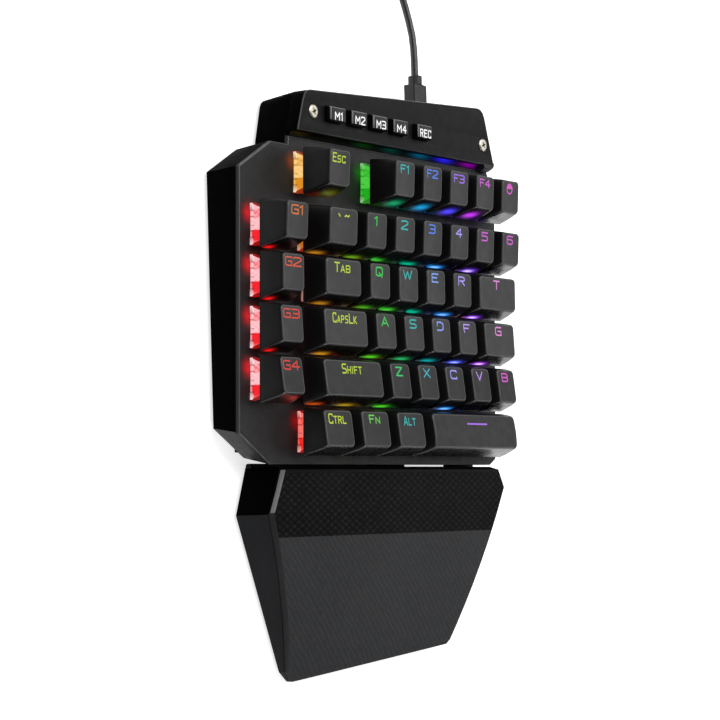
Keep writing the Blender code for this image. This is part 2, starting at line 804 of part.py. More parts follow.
def make_tube(name, points, resolution):
    curve = bpy.data.curves.new(name, "CURVE")
    curve.dimensions = "3D"
    curve.twist_mode = "Z_UP"
    curve.bevel_depth = cable_radius
    curve.bevel_resolution = resolution
    curve.use_fill_caps = True
    spline = curve.splines.new("POLY")
    spline.points.add(len(points) - 1)
    for target, point in zip(spline.points, points):
        target.co = (*point, 1)
    curve.materials.append(cable_black)
    bpy.context.scene.collection.objects.link(bpy.data.objects.new(name, curve))


def least_gap(points, skip):
    gap = min((a - b).length for i, a in enumerate(points) for b in points[i + skip:])
    return gap - 2 * cable_radius


def route_length(points):
    return sum((b - a).length for a, b in zip(points, points[1:]))


def make_plug(start):
    """Plug that lies along -X: round neck, moulded body and metal shell as one closed body."""
    body_end = neck_length + plug_length
    steps = [(neck_width, neck_width, 0), (neck_width, neck_width, neck_length),
             (plug_width, plug_thickness, neck_length), (plug_width, plug_thickness, body_end),
             (shell_width, shell_thickness, body_end), (shell_width, shell_thickness, body_end + shell_length)]
    rings = [lying(cut_ring(a / 2, b / 2, plug_corner, lambda px, py, w=w: w)) for a, b, w in steps]
    plug = ring_object("usb_plug", rings, cable_black, None, start)
    plug.rotation_euler = (0, 0, math.tau / 4)


def make_cable():
    feed_points = [cable_exit] + cable_route + [(coil_start[0], feed_end, cable_lie)]
    feed = smooth_route(feed_points, cable_step)
    coil, middle = coil_points()
    make_tube("usb_cable", feed, 2)
    make_tube("usb_cable_coil", coil, 1)
    make_plug(coil[-1] - Vector((clearance, 0, 0)))
    print("cable length m", round(route_length(feed) + route_length(coil), 3))
    print("coil gap to itself mm", round(least_gap(coil, loop_points // 2) / mm, 2))


# Assembly
key_centres = []
for row_name, keys in key_rows.items():
    for key_name, left_units, width_units in keys:
        make_keycap(key_name, row_name, left_units, width_units)
        key_centres.append(key_centre(row_name, left_units, width_units))

make_switch_board(key_centres)
make_top_plate(key_centres)
make_bottom_case()
make_module_cover()
make_macro_board()
for button_name, (button_x, button_line_y) in zip(("m1", "m2", "m3", "m4", "rec"), button_centres):
    make_button(button_name, button_x, button_line_y)
for side_name, (screw_x, screw_y) in zip(("left", "right"), screw_centres):
    make_screw("module_screw_" + side_name, screw_x, screw_y)
make_strain_relief()
make_wrist_rest()
make_wrist_rest_pad()
make_foot("case_foot_front", deck_left + foot_inset, deck_right - foot_inset, deck_front + front_foot_place)
make_foot("case_foot_rear", deck_left + foot_inset, deck_right - foot_inset, deck_rear - rear_foot_place)
foot_depth = rest_depth - rest_skew - rest_foot_place
rest_left_edge, rest_right_edge = rest_edges()
make_foot("wrist_rest_foot", read_edge(rest_left_edge, foot_depth) + rest_foot_inset,
          read_edge(rest_right_edge, foot_depth) - rest_foot_inset, rest_rear - foot_depth)
make_cable()
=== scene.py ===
"""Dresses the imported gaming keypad: finer keycaps with lit legends, glowing switch housings, a deck
that catches their light, the macro module, the textured wrist rest and the coiled cable."""
import math
from collections import namedtuple

import bmesh
import bpy
from mathutils import Matrix, Vector


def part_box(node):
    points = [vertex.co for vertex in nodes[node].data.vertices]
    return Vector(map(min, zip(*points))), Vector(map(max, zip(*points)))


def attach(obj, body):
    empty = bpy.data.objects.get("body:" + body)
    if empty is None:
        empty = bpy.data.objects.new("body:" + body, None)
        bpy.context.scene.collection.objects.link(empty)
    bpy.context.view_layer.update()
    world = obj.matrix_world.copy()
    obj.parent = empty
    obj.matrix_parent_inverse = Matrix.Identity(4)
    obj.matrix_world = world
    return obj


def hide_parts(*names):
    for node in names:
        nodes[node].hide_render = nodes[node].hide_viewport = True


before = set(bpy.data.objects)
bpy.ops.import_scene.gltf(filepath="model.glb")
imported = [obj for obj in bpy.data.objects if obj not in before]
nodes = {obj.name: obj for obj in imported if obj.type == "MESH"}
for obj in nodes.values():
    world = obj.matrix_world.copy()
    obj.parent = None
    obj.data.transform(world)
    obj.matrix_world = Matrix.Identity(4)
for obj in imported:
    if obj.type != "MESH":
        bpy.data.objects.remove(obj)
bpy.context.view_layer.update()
mm = 0.001

# Frame of the deck plate: its X starts at the macro column, its Y at the number row
wedge = math.radians(2)
plate_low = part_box("top_plate")[0]
macro_left, number_row, deck_height = 4.6 * mm, 88.6 * mm, 16.7 * mm
table_shift = Vector((plate_low.x + macro_left, plate_low.y + number_row * math.cos(wedge), 0))
rest_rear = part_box("wrist_rest_pad")[1].y
deck = Matrix.Translation(table_shift + Vector((0, 0, deck_height))) @ Matrix.Rotation(wedge, 4, "X")
deck_inverse = deck.inverted()

# Sizes of the keys, as in the part
pitch = 19.05 * mm
macro_gap = 7.1 * mm
function_gap = 2.8 * mm
key_gap = 0.9 * mm
skirt = 5.4 * mm
side_inset = 2.9 * mm
top_length = 13.5 * mm
top_shift = 1.2 * mm
dish = 0.5 * mm
row_heights = {"function": (16.6, 16.1), "number": (16.6, 16.1), "upper": (14.4, 14.6),
               "home": (13.4, 14.4), "lower": (13.1, 15.1), "space": (13.1, 15.1)}
row_steps = {"function": 1, "number": 0, "upper": -1, "home": -2, "lower": -3, "space": -4}

# Keys from left to right as (name, width, hue), where a hue runs along the lights from red to magenta
key_rows = {
    "function": [("esc", 1, 1.1), ("f1", 1, 3), ("f2", 1, 4), ("f3", 1, 5.4), ("f4", 1, 6.6),
                 ("light", 1, 7)],
    "number": [("g1", 1, 0.2), ("backquote", 1.25, 1), ("1", 1, 2), ("2", 1, 3), ("3", 1, 4), ("4", 1, 5),
               ("5", 1, 6.7), ("6", 1, 6.8)],
    "upper": [("g2", 1, 0.07), ("tab", 1.5, 1.1), ("q", 1, 2), ("w", 1, 3), ("e", 1, 3.9), ("r", 1, 5.2),
              ("t", 1.75, 7)],
    "home": [("g3", 1, 0.02), ("capslock", 1.75, 1.1), ("a", 1, 2), ("s", 1, 3), ("d", 1, 4.2), ("f", 1, 5.5),
             ("g", 1.5, 7)],
    "lower": [("g4", 1, 0), ("shift", 2.25, 1.1), ("z", 1, 2.2), ("x", 1, 3.2), ("c", 1, 4.8), ("v", 1, 5.8),
              ("b", 1, 7)],
    "space": [("ctrl", 1.25, 1), ("fn", 1.25, 1.8), ("alt", 1.25, 3), ("space", 3.5, 5.6)],
}
row_starts = {"function": 1, "space": 1}
room_before = {"f1": 1.25}
special_legends = {"backquote": "` ~", "capslock": "CapsLk", "light": "*", "space": "-"}
light_colours = [(1.0, 0.01, 0.01), (0.85, 0.45, 0.02), (0.08, 0.75, 0.02), (0.0, 0.52, 0.3),
                 (0.02, 0.32, 0.95), (0.07, 0.06, 1.0), (0.32, 0.05, 1.0), (0.7, 0.03, 0.75)]
legend_colours = [(0.62, 0.03, 0.02), (0.5, 0.62, 0.02), (0.02, 0.56, 0.06), (0.01, 0.42, 0.4),
                  (0.07, 0.19, 0.78), (0.24, 0.16, 0.8), (0.42, 0.12, 0.7), (0.66, 0.08, 0.55)]
light_lag = 0.9
pale_legends = ("4", "e", "r", "t", "d", "f", "g", "c", "v")


def ramp(colours, place):
    low = min(int(place), len(colours) - 2)
    share = place - low
    return Vector(colours[low]) * (1 - share) + Vector(colours[low + 1]) * share


Key = namedtuple("Key", "name row width legend hue x y")
keys = []
for row, listed in key_rows.items():
    y = row_steps[row] * pitch + (function_gap if row == "function" else 0)
    left = row_starts.get(row, 0)
    for name, width, hue in listed:
        left += room_before.get(name, 0)
        x = left * pitch + (macro_gap if left >= 1 else 0) + width * pitch / 2
        legend = special_legends.get(name, name.title())
        keys.append(Key(name, row, width, legend, hue, x, y))
        left += width


# Camera, where the photograph was taken from
camera_left, camera_front, camera_height = 760.87 * mm, 111.0 * mm, 559.66 * mm
camera_data = bpy.data.cameras.new("camera")
camera_data.lens = 118.7
camera_data.sensor_width = 36
camera_data.clip_start = 0.05
camera = bpy.data.objects.new("camera", camera_data)
bpy.context.scene.collection.objects.link(camera)
right = Vector((0.58962, -0.03074, 0.8071)).normalized()
forward = Vector((0.80683, 0.06824, -0.58683)).normalized()
up = right.cross(forward)
camera.matrix_world = Matrix((
    (right.x, up.x, -forward.x, -camera_left),
    (right.y, up.y, -forward.y, table_shift.y - camera_front),
    (right.z, up.z, -forward.z, camera_height),
    (0, 0, 0, 1)))
bpy.context.scene.camera = camera
bpy.context.scene.view_settings.view_transform = "Standard"


# Node helpers
class Shader:
    """A material's node tree with short calls to add and join nodes."""

    def __init__(self, name):
        self.material = bpy.data.materials.new(name)
        self.material.use_nodes = True
        self.tree = self.material.node_tree
        self.plain = self.tree.nodes["Principled BSDF"]
        self.place = self.node("ShaderNodeTexCoord").outputs["Object"]

    def node(self, kind, **inputs):
        made = self.tree.nodes.new(kind)
        for key, value in inputs.items():
            self.set(made, key, value)
        return made

    def link(self, output, socket):
        self.tree.links.new(output, socket)

    def set(self, made, key, value):
        """Set an input by its name, with _ for each space, or by its number after one _."""
        socket = made.inputs[int(key[1:]) if key[0] == "_" else key.replace("_", " ")]
        if isinstance(value, bpy.types.NodeSocket):
            self.link(value, socket)
        else:
            socket.default_value = value

    def math(self, operation, a, b=0.0, clamp=False):
        made = self.tree.nodes.new("ShaderNodeMath")
        made.operation = operation
        made.use_clamp = clamp
        self.set(made, "_0", a)
        self.set(made, "_1", b)
        return made.outputs[0]

    def noise(self, size, detail=2.0, place=None):
        made = self.node("ShaderNodeTexNoise", Scale=1 / size, Detail=detail)
        self.link(place or self.place, made.inputs["Vector"])
        return made.outputs[0]

    def spread(self, value, low, high, start=0.0, end=1.0):
        made = self.node("ShaderNodeMapRange", Value=value)
        for key, number in (("From Min", low), ("From Max", high), ("To Min", start), ("To Max", end)):
            made.inputs[key].default_value = number
        return made.outputs[0]

    def mix(self, share, a, b):
        made = self.tree.nodes.new("ShaderNodeMix")
        made.data_type = "RGBA"
        self.set(made, "_0", share)
        self.set(made, "_6", (*a, 1))
        self.set(made, "_7", (*b, 1))
        return made.outputs[2]

    def bump(self, height, depth, strength=1.0):
        made = self.node("ShaderNodeBump", Strength=strength, Distance=depth, Height=height)
        self.link(made.outputs[0], self.plain.inputs["Normal"])

    def glow(self, strength):
        made = self.tree.nodes.new("ShaderNodeAttribute")
        made.attribute_name = "glow"
        self.link(made.outputs["Color"], self.plain.inputs["Emission Color"])
        self.set(self.plain, "Emission_Strength", strength)

    def finish(self, share, dark, light, marks, smooth, rough, specular=0.5):
        """Give the surface its two colours, its uneven gloss and its reflection."""
        self.set(self.plain, "Base_Color", self.mix(share, dark, light))
        self.set(self.plain, "Roughness", self.spread(marks, 0.3, 0.7, smooth, rough))
        self.set(self.plain, "Specular_IOR_Level", specular)
        return self.material


def plastic(name, colour, roughness, specular=0.5, grain=0.35 * mm, depth=0.02 * mm, glow=0.0):
    """Moulded plastic: a fine grain, slow colour drift and handling marks in its gloss."""
    s = Shader(name)
    fine = s.noise(grain, 3)
    share = s.math("ADD", s.math("MULTIPLY", fine, 0.45), s.math("MULTIPLY", s.noise(22 * mm, 2), 0.55))
    s.bump(fine, depth, 0.6)
    if glow:
        s.glow(glow)
    dark, light = [[c * (1 + drift) for c in colour] for drift in (-0.18, 0.18)]
    return s.finish(s.spread(share, 0.35, 0.65), dark, light, s.noise(3.5 * mm, 4), roughness - 0.05,
                    roughness + 0.07, specular)


def metal(name, colour, roughness, brushed):
    """Plated steel with fine brush lines along one axis."""
    s = Shader(name)
    stretch = s.node("ShaderNodeMapping", Scale=brushed, Vector=s.place)
    lines = s.noise(0.3 * mm, 3, stretch.outputs[0])
    s.bump(lines, 0.006 * mm, 0.5)
    s.set(s.plain, "Metallic", 1)
    return s.finish(lines, [c * 0.8 for c in colour], colour, lines, roughness - 0.06, roughness + 0.1)


def grey(level, blue):
    return level, level, blue


# Grain size and depth of the larger mouldings
coarse = 0.4 * mm, 0.03 * mm
painted = 0.3 * mm, 0.03 * mm
# One keycap plastic in lit and shaded copies: the front rows' tops, the sides and the front faces are darker
# copies as painted shade, the rounded top edges a lighter copy as a painted highlight.
cap_top = plastic("keycap_top", grey(0.024, 0.025), 0.46, 0.3)
cap_top_shaded = plastic("keycap_top_front", grey(0.0145, 0.0152), 0.46, 0.24)
cap_side_shaded = plastic("keycap_side", grey(0.005, 0.0054), 0.42, 0.2, glow=1.0)
cap_front_shaded = plastic("keycap_front", grey(0.003, 0.0032), 0.28, 0.6, glow=1.0)
cap_edge_highlight = plastic("keycap_edge", grey(0.045, 0.046), 0.38, 0.5)
deck_top = plastic("deck_coating", grey(0.015, 0.0155), 0.5, 0.2, *painted, glow=1.0)
# The deck's rounded rim is a lighter copy of its coating, a painted highlight.
deck_rim = plastic("deck_rim", grey(0.06, 0.062), 0.35, 0.6, *painted)
case_black = plastic("case_plastic", grey(0.004, 0.0042), 0.5, 0.1, *coarse)
# The case's left walls are a darker copy as painted shade, its front left corner a lighter copy as painted
# light.
case_wall = plastic("case_wall", grey(0.0009, 0.001), 0.6, 0.01, *coarse)
case_corner = plastic("case_corner", grey(0.031, 0.032), 0.5, 0.2, *coarse)
case_shoulder = plastic("case_shoulder", grey(0.0042, 0.0044), 0.7, 0.02, *coarse)
module_top = plastic("module_plastic", grey(0.0072, 0.0074), 0.5, 0.1, *coarse)
# The module's narrow edges are a lighter copy, a painted highlight.
module_rim = plastic("module_rim", grey(0.04, 0.041), 0.4, 0.5, *coarse)
button_black = plastic("button_plastic", grey(0.009, 0.0094), 0.34, 0.22)
# Button sides are a darker copy as painted shade, the left and rear edges a lighter copy as a painted
# highlight.
button_side = plastic("button_side", grey(0.003, 0.0032), 0.4, 0.08)
button_rim = plastic("button_rim", grey(0.16, 0.165), 0.35, 0.6)
cable_black = plastic("cable_jacket", grey(0.012, 0.0125), 0.26, 0.6, 0.25 * mm, 0.01 * mm)
nose_black = plastic("module_nose_plastic", grey(0.03, 0.031), 0.5, 0.2, *coarse)
relief_black = plastic("relief_rubber", grey(0.008, 0.0084), 0.42, 0.4, 0.25 * mm, 0.02 * mm)
grip_black = plastic("plug_grip", grey(0.014, 0.0145), 0.5, 0.35)
foot_rubber = plastic("foot_rubber", grey(0.018, 0.0185), 0.85, 0.25, 0.5 * mm, 0.06 * mm)
rest_shell = plastic("rest_plastic", (0.022, 0.0225, 0.0245), 0.5, 0.06, *coarse)
# The rest's rear and rear-left walls are a darker copy as painted shade.
rest_dark = plastic("rest_dark", grey(0.0009, 0.0009), 0.6, 0.01, *coarse)
rest_band = plastic("rest_band", grey(0.002, 0.002), 0.45, 0.05, 0.4 * mm, 0.02 * mm)
rest_chamfer = plastic("rest_chamfer", (0.024, 0.0243, 0.0255), 0.45, 0.15, *coarse)
# The bright strip along the rest's left rear edge is a painted highlight.
rest_strip = plastic("rest_strip", grey(0.17, 0.173), 0.4, 0.5, *coarse)
board_green = plastic("board_mask", (0.01, 0.06, 0.025), 0.35, 0.5)
tie_black = plastic("tie_strap", grey(0.02, 0.021), 0.7, 0.3, 0.4 * mm, 0.05 * mm)
housing_clear = plastic("switch_housing", (0.05, 0.048, 0.047), 0.45, 0.1, glow=1.0)
steel = metal("screw_steel", (0.6, 0.56, 0.48), 0.3, (1, 0.15, 1))
plug_steel = metal("plug_shell", (0.75, 0.76, 0.78), 0.28, (0.1, 1, 1))


def lit(name, strength, base=0.012, specular=0.2):
    """Translucent plastic of a legend lit from behind, and the sheet that carries the painted light in the
    groove.
    """
    s = Shader(name)
    cloud = s.noise(0.8 * mm, 2)
    s.glow(strength)
    return s.finish(cloud, [base] * 3, [base * 1.6] * 3, cloud, 0.4, 0.55, specular)


open_keys = ("g1", "g2", "g3", "g4", "esc", "f1", "ctrl")
lit_legend = lit("lit_legend", 1.0)
light_guide = lit("light_guide", 1.0, 0.002, 0.02)
s = Shader("printed_white")
worn = s.noise(0.5 * mm, 3)
# The print also glows faintly, as painted light.
s.set(s.plain, "Emission_Color", (0.9, 0.9, 0.9, 1))
s.set(s.plain, "Emission_Strength", 0.35)
printed_white = s.finish(s.spread(worn, 0.3, 0.6), (0.62, 0.62, 0.61), (0.85, 0.85, 0.84), worn, 0.4, 0.55)


# Mesh helpers
def new_object(name, bm, materials, matrix=Matrix.Identity(4), body="base", smooth=35, node=None,
               glow=None):
    """An object from a mesh, with what it stands for in the frame and a light colour for each vertex."""
    mesh = bpy.data.meshes.new(name)
    bm.transform(matrix)
    bm.to_mesh(mesh)
    bm.free()
    for material in materials:
        mesh.materials.append(material)
    if smooth:
        mesh.polygons.foreach_set("use_smooth", [True] * len(mesh.polygons))
        mesh.set_sharp_from_angle(angle=math.radians(smooth))
    made = bpy.data.objects.new(name, mesh)
    bpy.context.scene.collection.objects.link(made)
    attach(made, body)
    if glow:
        colours = mesh.color_attributes.new("glow", "FLOAT_COLOR", "POINT")
        colours.data.foreach_set("color", [c for colour in glow for c in (*colour, 1.0)])
    if node:
        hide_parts(node)
    return made


def join_rings(bm, rings, material=0):
    """Join rings of points into a closed skin. Each step between rings may have its own material."""
    loops = [[bm.verts.new(p) for p in ring] for ring in rings]
    numbers = material if isinstance(material, list) else [material] * (len(rings) - 1)
    for number, lower, upper in zip(numbers, loops, loops[1:]):
        for i in range(len(lower)):
            j = (i + 1) % len(lower)
            bm.faces.new((lower[i], lower[j], upper[j], upper[i])).material_index = number
    bm.faces.new(list(reversed(loops[0]))).material_index = numbers[0]
    bm.faces.new(loops[-1]).material_index = numbers[-1]
    return loops


def soft_rectangle(half_x, half_y, radius, z_at, along_x=8, along_y=6, corner=4, shift=0.0):
    """Points of a rectangle with round corners, anticlockwise."""
    points = []
    centres = [(half_x - radius, half_y - radius, 0), (radius - half_x, half_y - radius, 1),
               (radius - half_x, radius - half_y, 2), (half_x - radius, radius - half_y, 3)]
    for n, (cx, cy, quarter) in enumerate(centres):
        for k in range(corner + 1):
            a = (quarter + k / corner) * math.pi / 2
            points.append((cx + radius * math.cos(a), cy + radius * math.sin(a)))
        nx, ny, q = centres[(n + 1) % 4]
        a = q * math.pi / 2
        x0, y0 = points[-1]
        x1, y1 = nx + radius * math.cos(a), ny + radius * math.sin(a)
        steps = along_x if n % 2 == 0 else along_y
        for k in range(1, steps):
            points.append((x0 + (x1 - x0) * k / steps, y0 + (y1 - y0) * k / steps))
    return [(x, y + shift, z_at(x, y + shift)) for x, y in points]


def circle(radius, z, sides=24):
    turns = [i * math.tau / sides for i in range(sides)]
    return [(radius * math.cos(a), radius * math.sin(a), z) for a in turns]


# Corners of a rectangle, anticlockwise
corners = ((-1, -1), (1, -1), (1, 1), (-1, 1))


def box(bm, low, high, material=0):
    x0, y0, z0 = low
    x1, y1, z1 = high
    join_rings(bm, [[(x0, y0, z), (x1, y0, z), (x1, y1, z), (x0, y1, z)] for z in (z0, z1)], material)


def cad_copy(node, to_deck=False):
    """A welded copy of a node's mesh with its flat faces merged."""
    bm = bmesh.new()
    bm.from_mesh(nodes[node].data)
    if to_deck:
        bm.transform(deck_inverse)
    bmesh.ops.remove_doubles(bm, verts=bm.verts, dist=1e-6)
    bmesh.ops.dissolve_limit(bm, angle_limit=math.radians(0.6), verts=bm.verts, edges=bm.edges)
    return bm


def round_edges(bm, edges, width, segments):
    return bmesh.ops.bevel(bm, geom=edges, offset=width, offset_type="OFFSET", segments=segments, profile=0.5,
                           affect="EDGES", clamp_overlap=True)


def slice_at(bm, axis, place):
    """Cut every face on the plane across one axis."""
    point, normal = Vector((0, 0, 0)), Vector((0, 0, 0))
    point[axis], normal[axis] = place, 1
    bmesh.ops.bisect_plane(bm, geom=bm.verts[:] + bm.edges[:] + bm.faces[:], dist=1e-7, plane_co=point,
                           plane_no=normal)


# Light that leaves each switch, a step behind its legend along the rainbow
lamps = []
for key in keys:
    hue = max(0, key.hue - light_lag) * (0.2 if key.name == "ctrl" else 1)
    lamps.append((Vector((key.x, key.y + 5.0 * mm, 2.6 * mm)), ramp(light_colours, hue), key))


def light_at(point, normal, reach=3.4 * mm, own=None):
    total = Vector((0, 0, 0))
    for place, colour, key in lamps:
        if key is own:
            continue
        towards = place - point
        distance = towards.length
        if distance > 24 * mm:
            continue
        facing = normal.dot(towards) / distance
        if facing > 0:
            total += colour * facing / (1 + (distance / reach) ** 2) ** 2
    return total


# Width and strokes of the legends' letters, on a grid four wide and six high
glyphs = {
    "A": "4 / 0,0 2,6 4,0 / 0.9,1.7 2.6,1.7",
    "B": "4 / 0,0 0,6 3.2,6 4,5.2 4,3.8 3.2,3 0,3 / 3.2,3 4,2.2 4,0.8 3.2,0 0,0",
    "C": "4 / 4,5 4,6 0.8,6 0,5.2 0,0.8 0.8,0 4,0 4,1",
    "D": "4 / 0,3.4 0,6 2.8,6 4,4.8 4,1.2 2.8,0 0,0",
    "E": "4 / 4,6 0,6 0,0 4,0 / 0,3.2 3.2,3.2",
    "F": "4 / 4,6 0,6 0,3.2 0.5,0 / 0,3.2 3.2,3.2",
    "G": "4 / 4,6 0.8,6 0,5.2 0,0.8 0.8,0 4,0 4,3 1.9,3",
    "H": "4 / 0,0 0,6 / 4,0 4,6 / 0,3 4,3",
    "I": "0.8 / 0.4,0 0.4,6",
    "K": "4 / 0,0 0,6 / 4,6 0.8,3 4,0",
    "L": "3.6 / 0,6 0,0 3.6,0",
    "M": "4.6 / 0,0 0,6 2.3,2.2 4.6,6 4.6,0",
    "N": "4 / 0,0 0,6 4,0 4,6",
    "P": "4 / 0,0 0,6 3.2,6 4,5.2 4,3.6 3.2,2.8 0,2.8",
    "Q": "4 / 2.4,0 0.8,0 0,0.8 0,5.2 0.8,6 3.2,6 4,5.2 4,1.2 3.2,0.4 / 2.1,2 3.7,-0.8",
    "R": "4 / 0,0 0,3 / 0,6 3.2,6 4,5.2 4,3.8 3.2,3 0.9,3 / 0,6 0,3 / 2.1,3 4,0",
    "S": "4 / 4,6 0.8,6 0,5.2 0,3.8 0.8,3 3.2,3 4,2.2 4,0.8 3.2,0 0,0",
    "T": "4 / 0,6 4,6 / 2,6 2,0",
    "V": "4 / 0,6 2,0 4,6",
    "W": "5.4 / 0,6 1.3,0 2.7,5.2 4.1,0 5.4,6",
    "X": "4 / 0,0 4,6 / 0,6 4,0",
    "Z": "4 / 0,6 4,6 0,0 4,0",
    "1": "1.4 / 0,4.8 1.2,6 1.2,0",
    "2": "4 / 0,5.4 0.6,6 3.2,6 4,5.2 4,4 0,0.6 0,0 4,0",
    "3": "4 / 0,6 3.2,6 4,5.2 4,3.8 3.2,3 1,3 / 3.2,3 4,2.2 4,0.8 3.2,0 0,0",
    "4": "4 / 3,0 3,6 0,2 4,2",
    "5": "4 / 4,6 0,6 0,3.4 3.2,3.4 4,2.6 4,0.8 3.2,0 0,0",
    "6": "4 / 4,6 0.8,6 0,5.2 0,0.8 0.8,0 3.2,0 4,0.8 4,2.6 3.2,3.4 0,3.4",
    "`": "1 / 0,6 1,4.6",
    "~": "3.2 / 0,4.8 1,5.6 2.2,4.8 3.2,5.6",
    "-": "14 / 0,0 14,0",
    " ": "1.5",
}


def read_glyph(c):
    """A glyph's width and its strokes as lists of points."""
    wide, *lines = glyphs[c].split(" / ")
    return float(wide), [[[float(n) for n in point.split(",")] for point in line.split()] for line in lines]


def stroke(bm, line, width, surface, material):
    """A flat ribbon along a line, cut short enough to follow the surface under it."""
    points = []
    for a, b in zip(line, line[1:]):
        parts = max(1, round((b - a).length / (0.7 * mm)))
        points += [a + (b - a) * k / parts for k in range(parts)]
    points.append(line[-1])
    sides = []
    for i, p in enumerate(points):
        before = (p - points[i - 1]).normalized() if i else (points[1] - p).normalized()
        after = (points[i + 1] - p).normalized() if i + 1 < len(points) else before
        normal_a, normal_b = Vector((-before.y, before.x)), Vector((-after.y, after.x))
        mitre = (normal_a + normal_b) / max(0.5, 1 + normal_a.dot(normal_b))
        end = before * (-width / 2 if i == 0 else width / 2 if i + 1 == len(points) else 0)
        sides.append([p + end + mitre * s * width / 2 for s in (1, -1)])
    made = [[bm.verts.new((q.x, q.y, surface(q.x, q.y))) for q in pair] for pair in sides]
    for (a, b), (c, d) in zip(made, made[1:]):
        bm.faces.new((a, b, d, c)).material_index = material
    return [v for pair in made for v in pair]


def write(bm, text, centre_x, top_y, height, letter_width, line_width, surface, material):
    """Write a legend: the first letter and any capital are tall, the rest small capitals."""
    small = 0.76
    gap = 1.0 * mm
    cells, total = [], 0.0
    for c in text:
        scale = small if c.islower() else 1.0
        wide, lines = read_glyph(c.upper())
        cells.append((lines, scale, total))
        total += wide / 4 * letter_width * scale + gap
    start = centre_x - (total - gap) / 2
    made = []
    for lines, scale, offset in cells:
        unit_x = letter_width * scale / 4
        unit_y = height * scale / 6
        for line in lines:
            path = [Vector((start + offset + x * unit_x, top_y - height + y * unit_y)) for x, y in line]
            made += stroke(bm, path, line_width * (0.85 if scale < 1 else 1), surface, material)
    return made


def half_disc(bm, x, y, radius, surface, material):
    """A ring with its upper half filled, the usual sign for brightness."""
    line_width = 0.6 * mm
    bands = 4
    ring = [Vector((x + radius * math.cos(a), y + radius * math.sin(a)))
            for a in [math.tau * k / 20 for k in range(21)]]
    made = stroke(bm, ring, line_width, surface, material)
    inner = radius - line_width / 2
    band = inner / bands
    for k in range(bands):
        rise = (k + 0.5) * band
        reach = math.sqrt(inner * inner - rise * rise) - band / 2
        line = [Vector((x + side * reach, y + rise)) for side in (-1, 1)]
        made += stroke(bm, line, band, surface, material)
    return made


# Spots low on the caps' front faces, where light leaves the row, as (offset from the key, hue, strength)
spots = {
    "esc": [(1.5, 1.5, 0.16)], "f1": [(1.5, 2.7, 0.55)], "f2": [(1.1, 3.7, 0.9)], "f3": [(1.4, 5.0, 1.2)],
    "f4": [(-1.5, 6.6, 1.2)],
    "g1": [(-5.2, 0, 0.9)], "g2": [(-5.2, 0, 0.9)], "g3": [(-5.2, 0, 0.9)], "g4": [(3.2, 0, 0.25)],
    "backquote": [(-5.4, 0.85, 0.5)], "1": [(-3.4, 1.8, 0.45)], "2": [(-7.3, 2.1, 0.7)],
    "3": [(-4.4, 3, 0.9)], "4": [(-4.1, 4, 1.5)], "5": [(0.9, 5.6, 1.9)],
    "tab": [(-4.9, 0.9, 0.45)], "q": [(-1.0, 2.0, 0.45)], "w": [(-4.6, 2.1, 0.8)], "e": [(-6.3, 3, 0.9)],
    "r": [(-3.5, 4.1, 1.45)], "t": [(-7.7, 6, 1.9)],
    "capslock": [(-6.9, 0.9, 0.6)], "a": [(-1.2, 2, 0.8)], "s": [(0.5, 2.6, 0.7)], "d": [(-0.1, 3.2, 0.7)],
    "f": [(0.3, 4.8, 1.6)], "g": [(-5.2, 6.3, 1.9)],
    "shift": [(-16.1, 0.3, 0.5), (3.5, 1.1, 0.5)], "z": [(-3.8, 2.0, 0.9)], "c": [(2.3, 4.0, 1.5)],
}
spot_sizes = {"g4": (11.6, 1.2, 1.6), "5": (6.5, 1.9, 4.1),
              **dict.fromkeys(("g1", "g2", "g3"), (6.5, 1.4, 2.2))}


def front_spot(key, point, normal):
    """The bright spot on a cap's front face, where light leaves the row of switches."""
    total = Vector((0, 0, 0))
    if normal.y > -0.5:
        return total
    usual = (9.6, 2.1, 3.6) if key.row == "function" else (6.5, 1.4, 4.1)
    middle, tall, wide = spot_sizes.get(key.name, usual)
    for x, hue, strength in spots.get(key.name, ()):
        dx = (point.x / mm - x) / wide
        dz = (point.z / mm - middle) / tall
        weight = math.exp(-abs(dx) ** 3 - dz * dz)
        total += ramp(light_colours, hue) * weight * min(strength, 1.3)
        if strength > 1.4:
            total += Vector((1, 1, 1)) * (strength - 1.2) * weight ** 4
    return total


def legend_layout(name, legend):
    """A legend's place across, drop from the usual line, height, letter width and line width, in mm."""
    if legend == "-":
        return 1.0, -1.45, 3.7, 4.0, 0.7
    if legend == "` ~":
        return 0.2, 0.9, 3.2, 3.2, 0.55
    if len(legend) > 2:
        wide = {"esc": 2.3, "tab": 3.0, "capslock": 2.0}.get(name, 2.4)
        return -0.6, 0, 3.1 if name == "esc" else 3.3, wide, 0.55
    if len(legend) == 2:
        return (-0.3, 0, 3.1, 4.2, 0.55) if name[0] == "g" else (-0.3, 0, 2.9, 3.2, 0.55)
    return -0.5, 0, 3.2, 4.2, 0.58


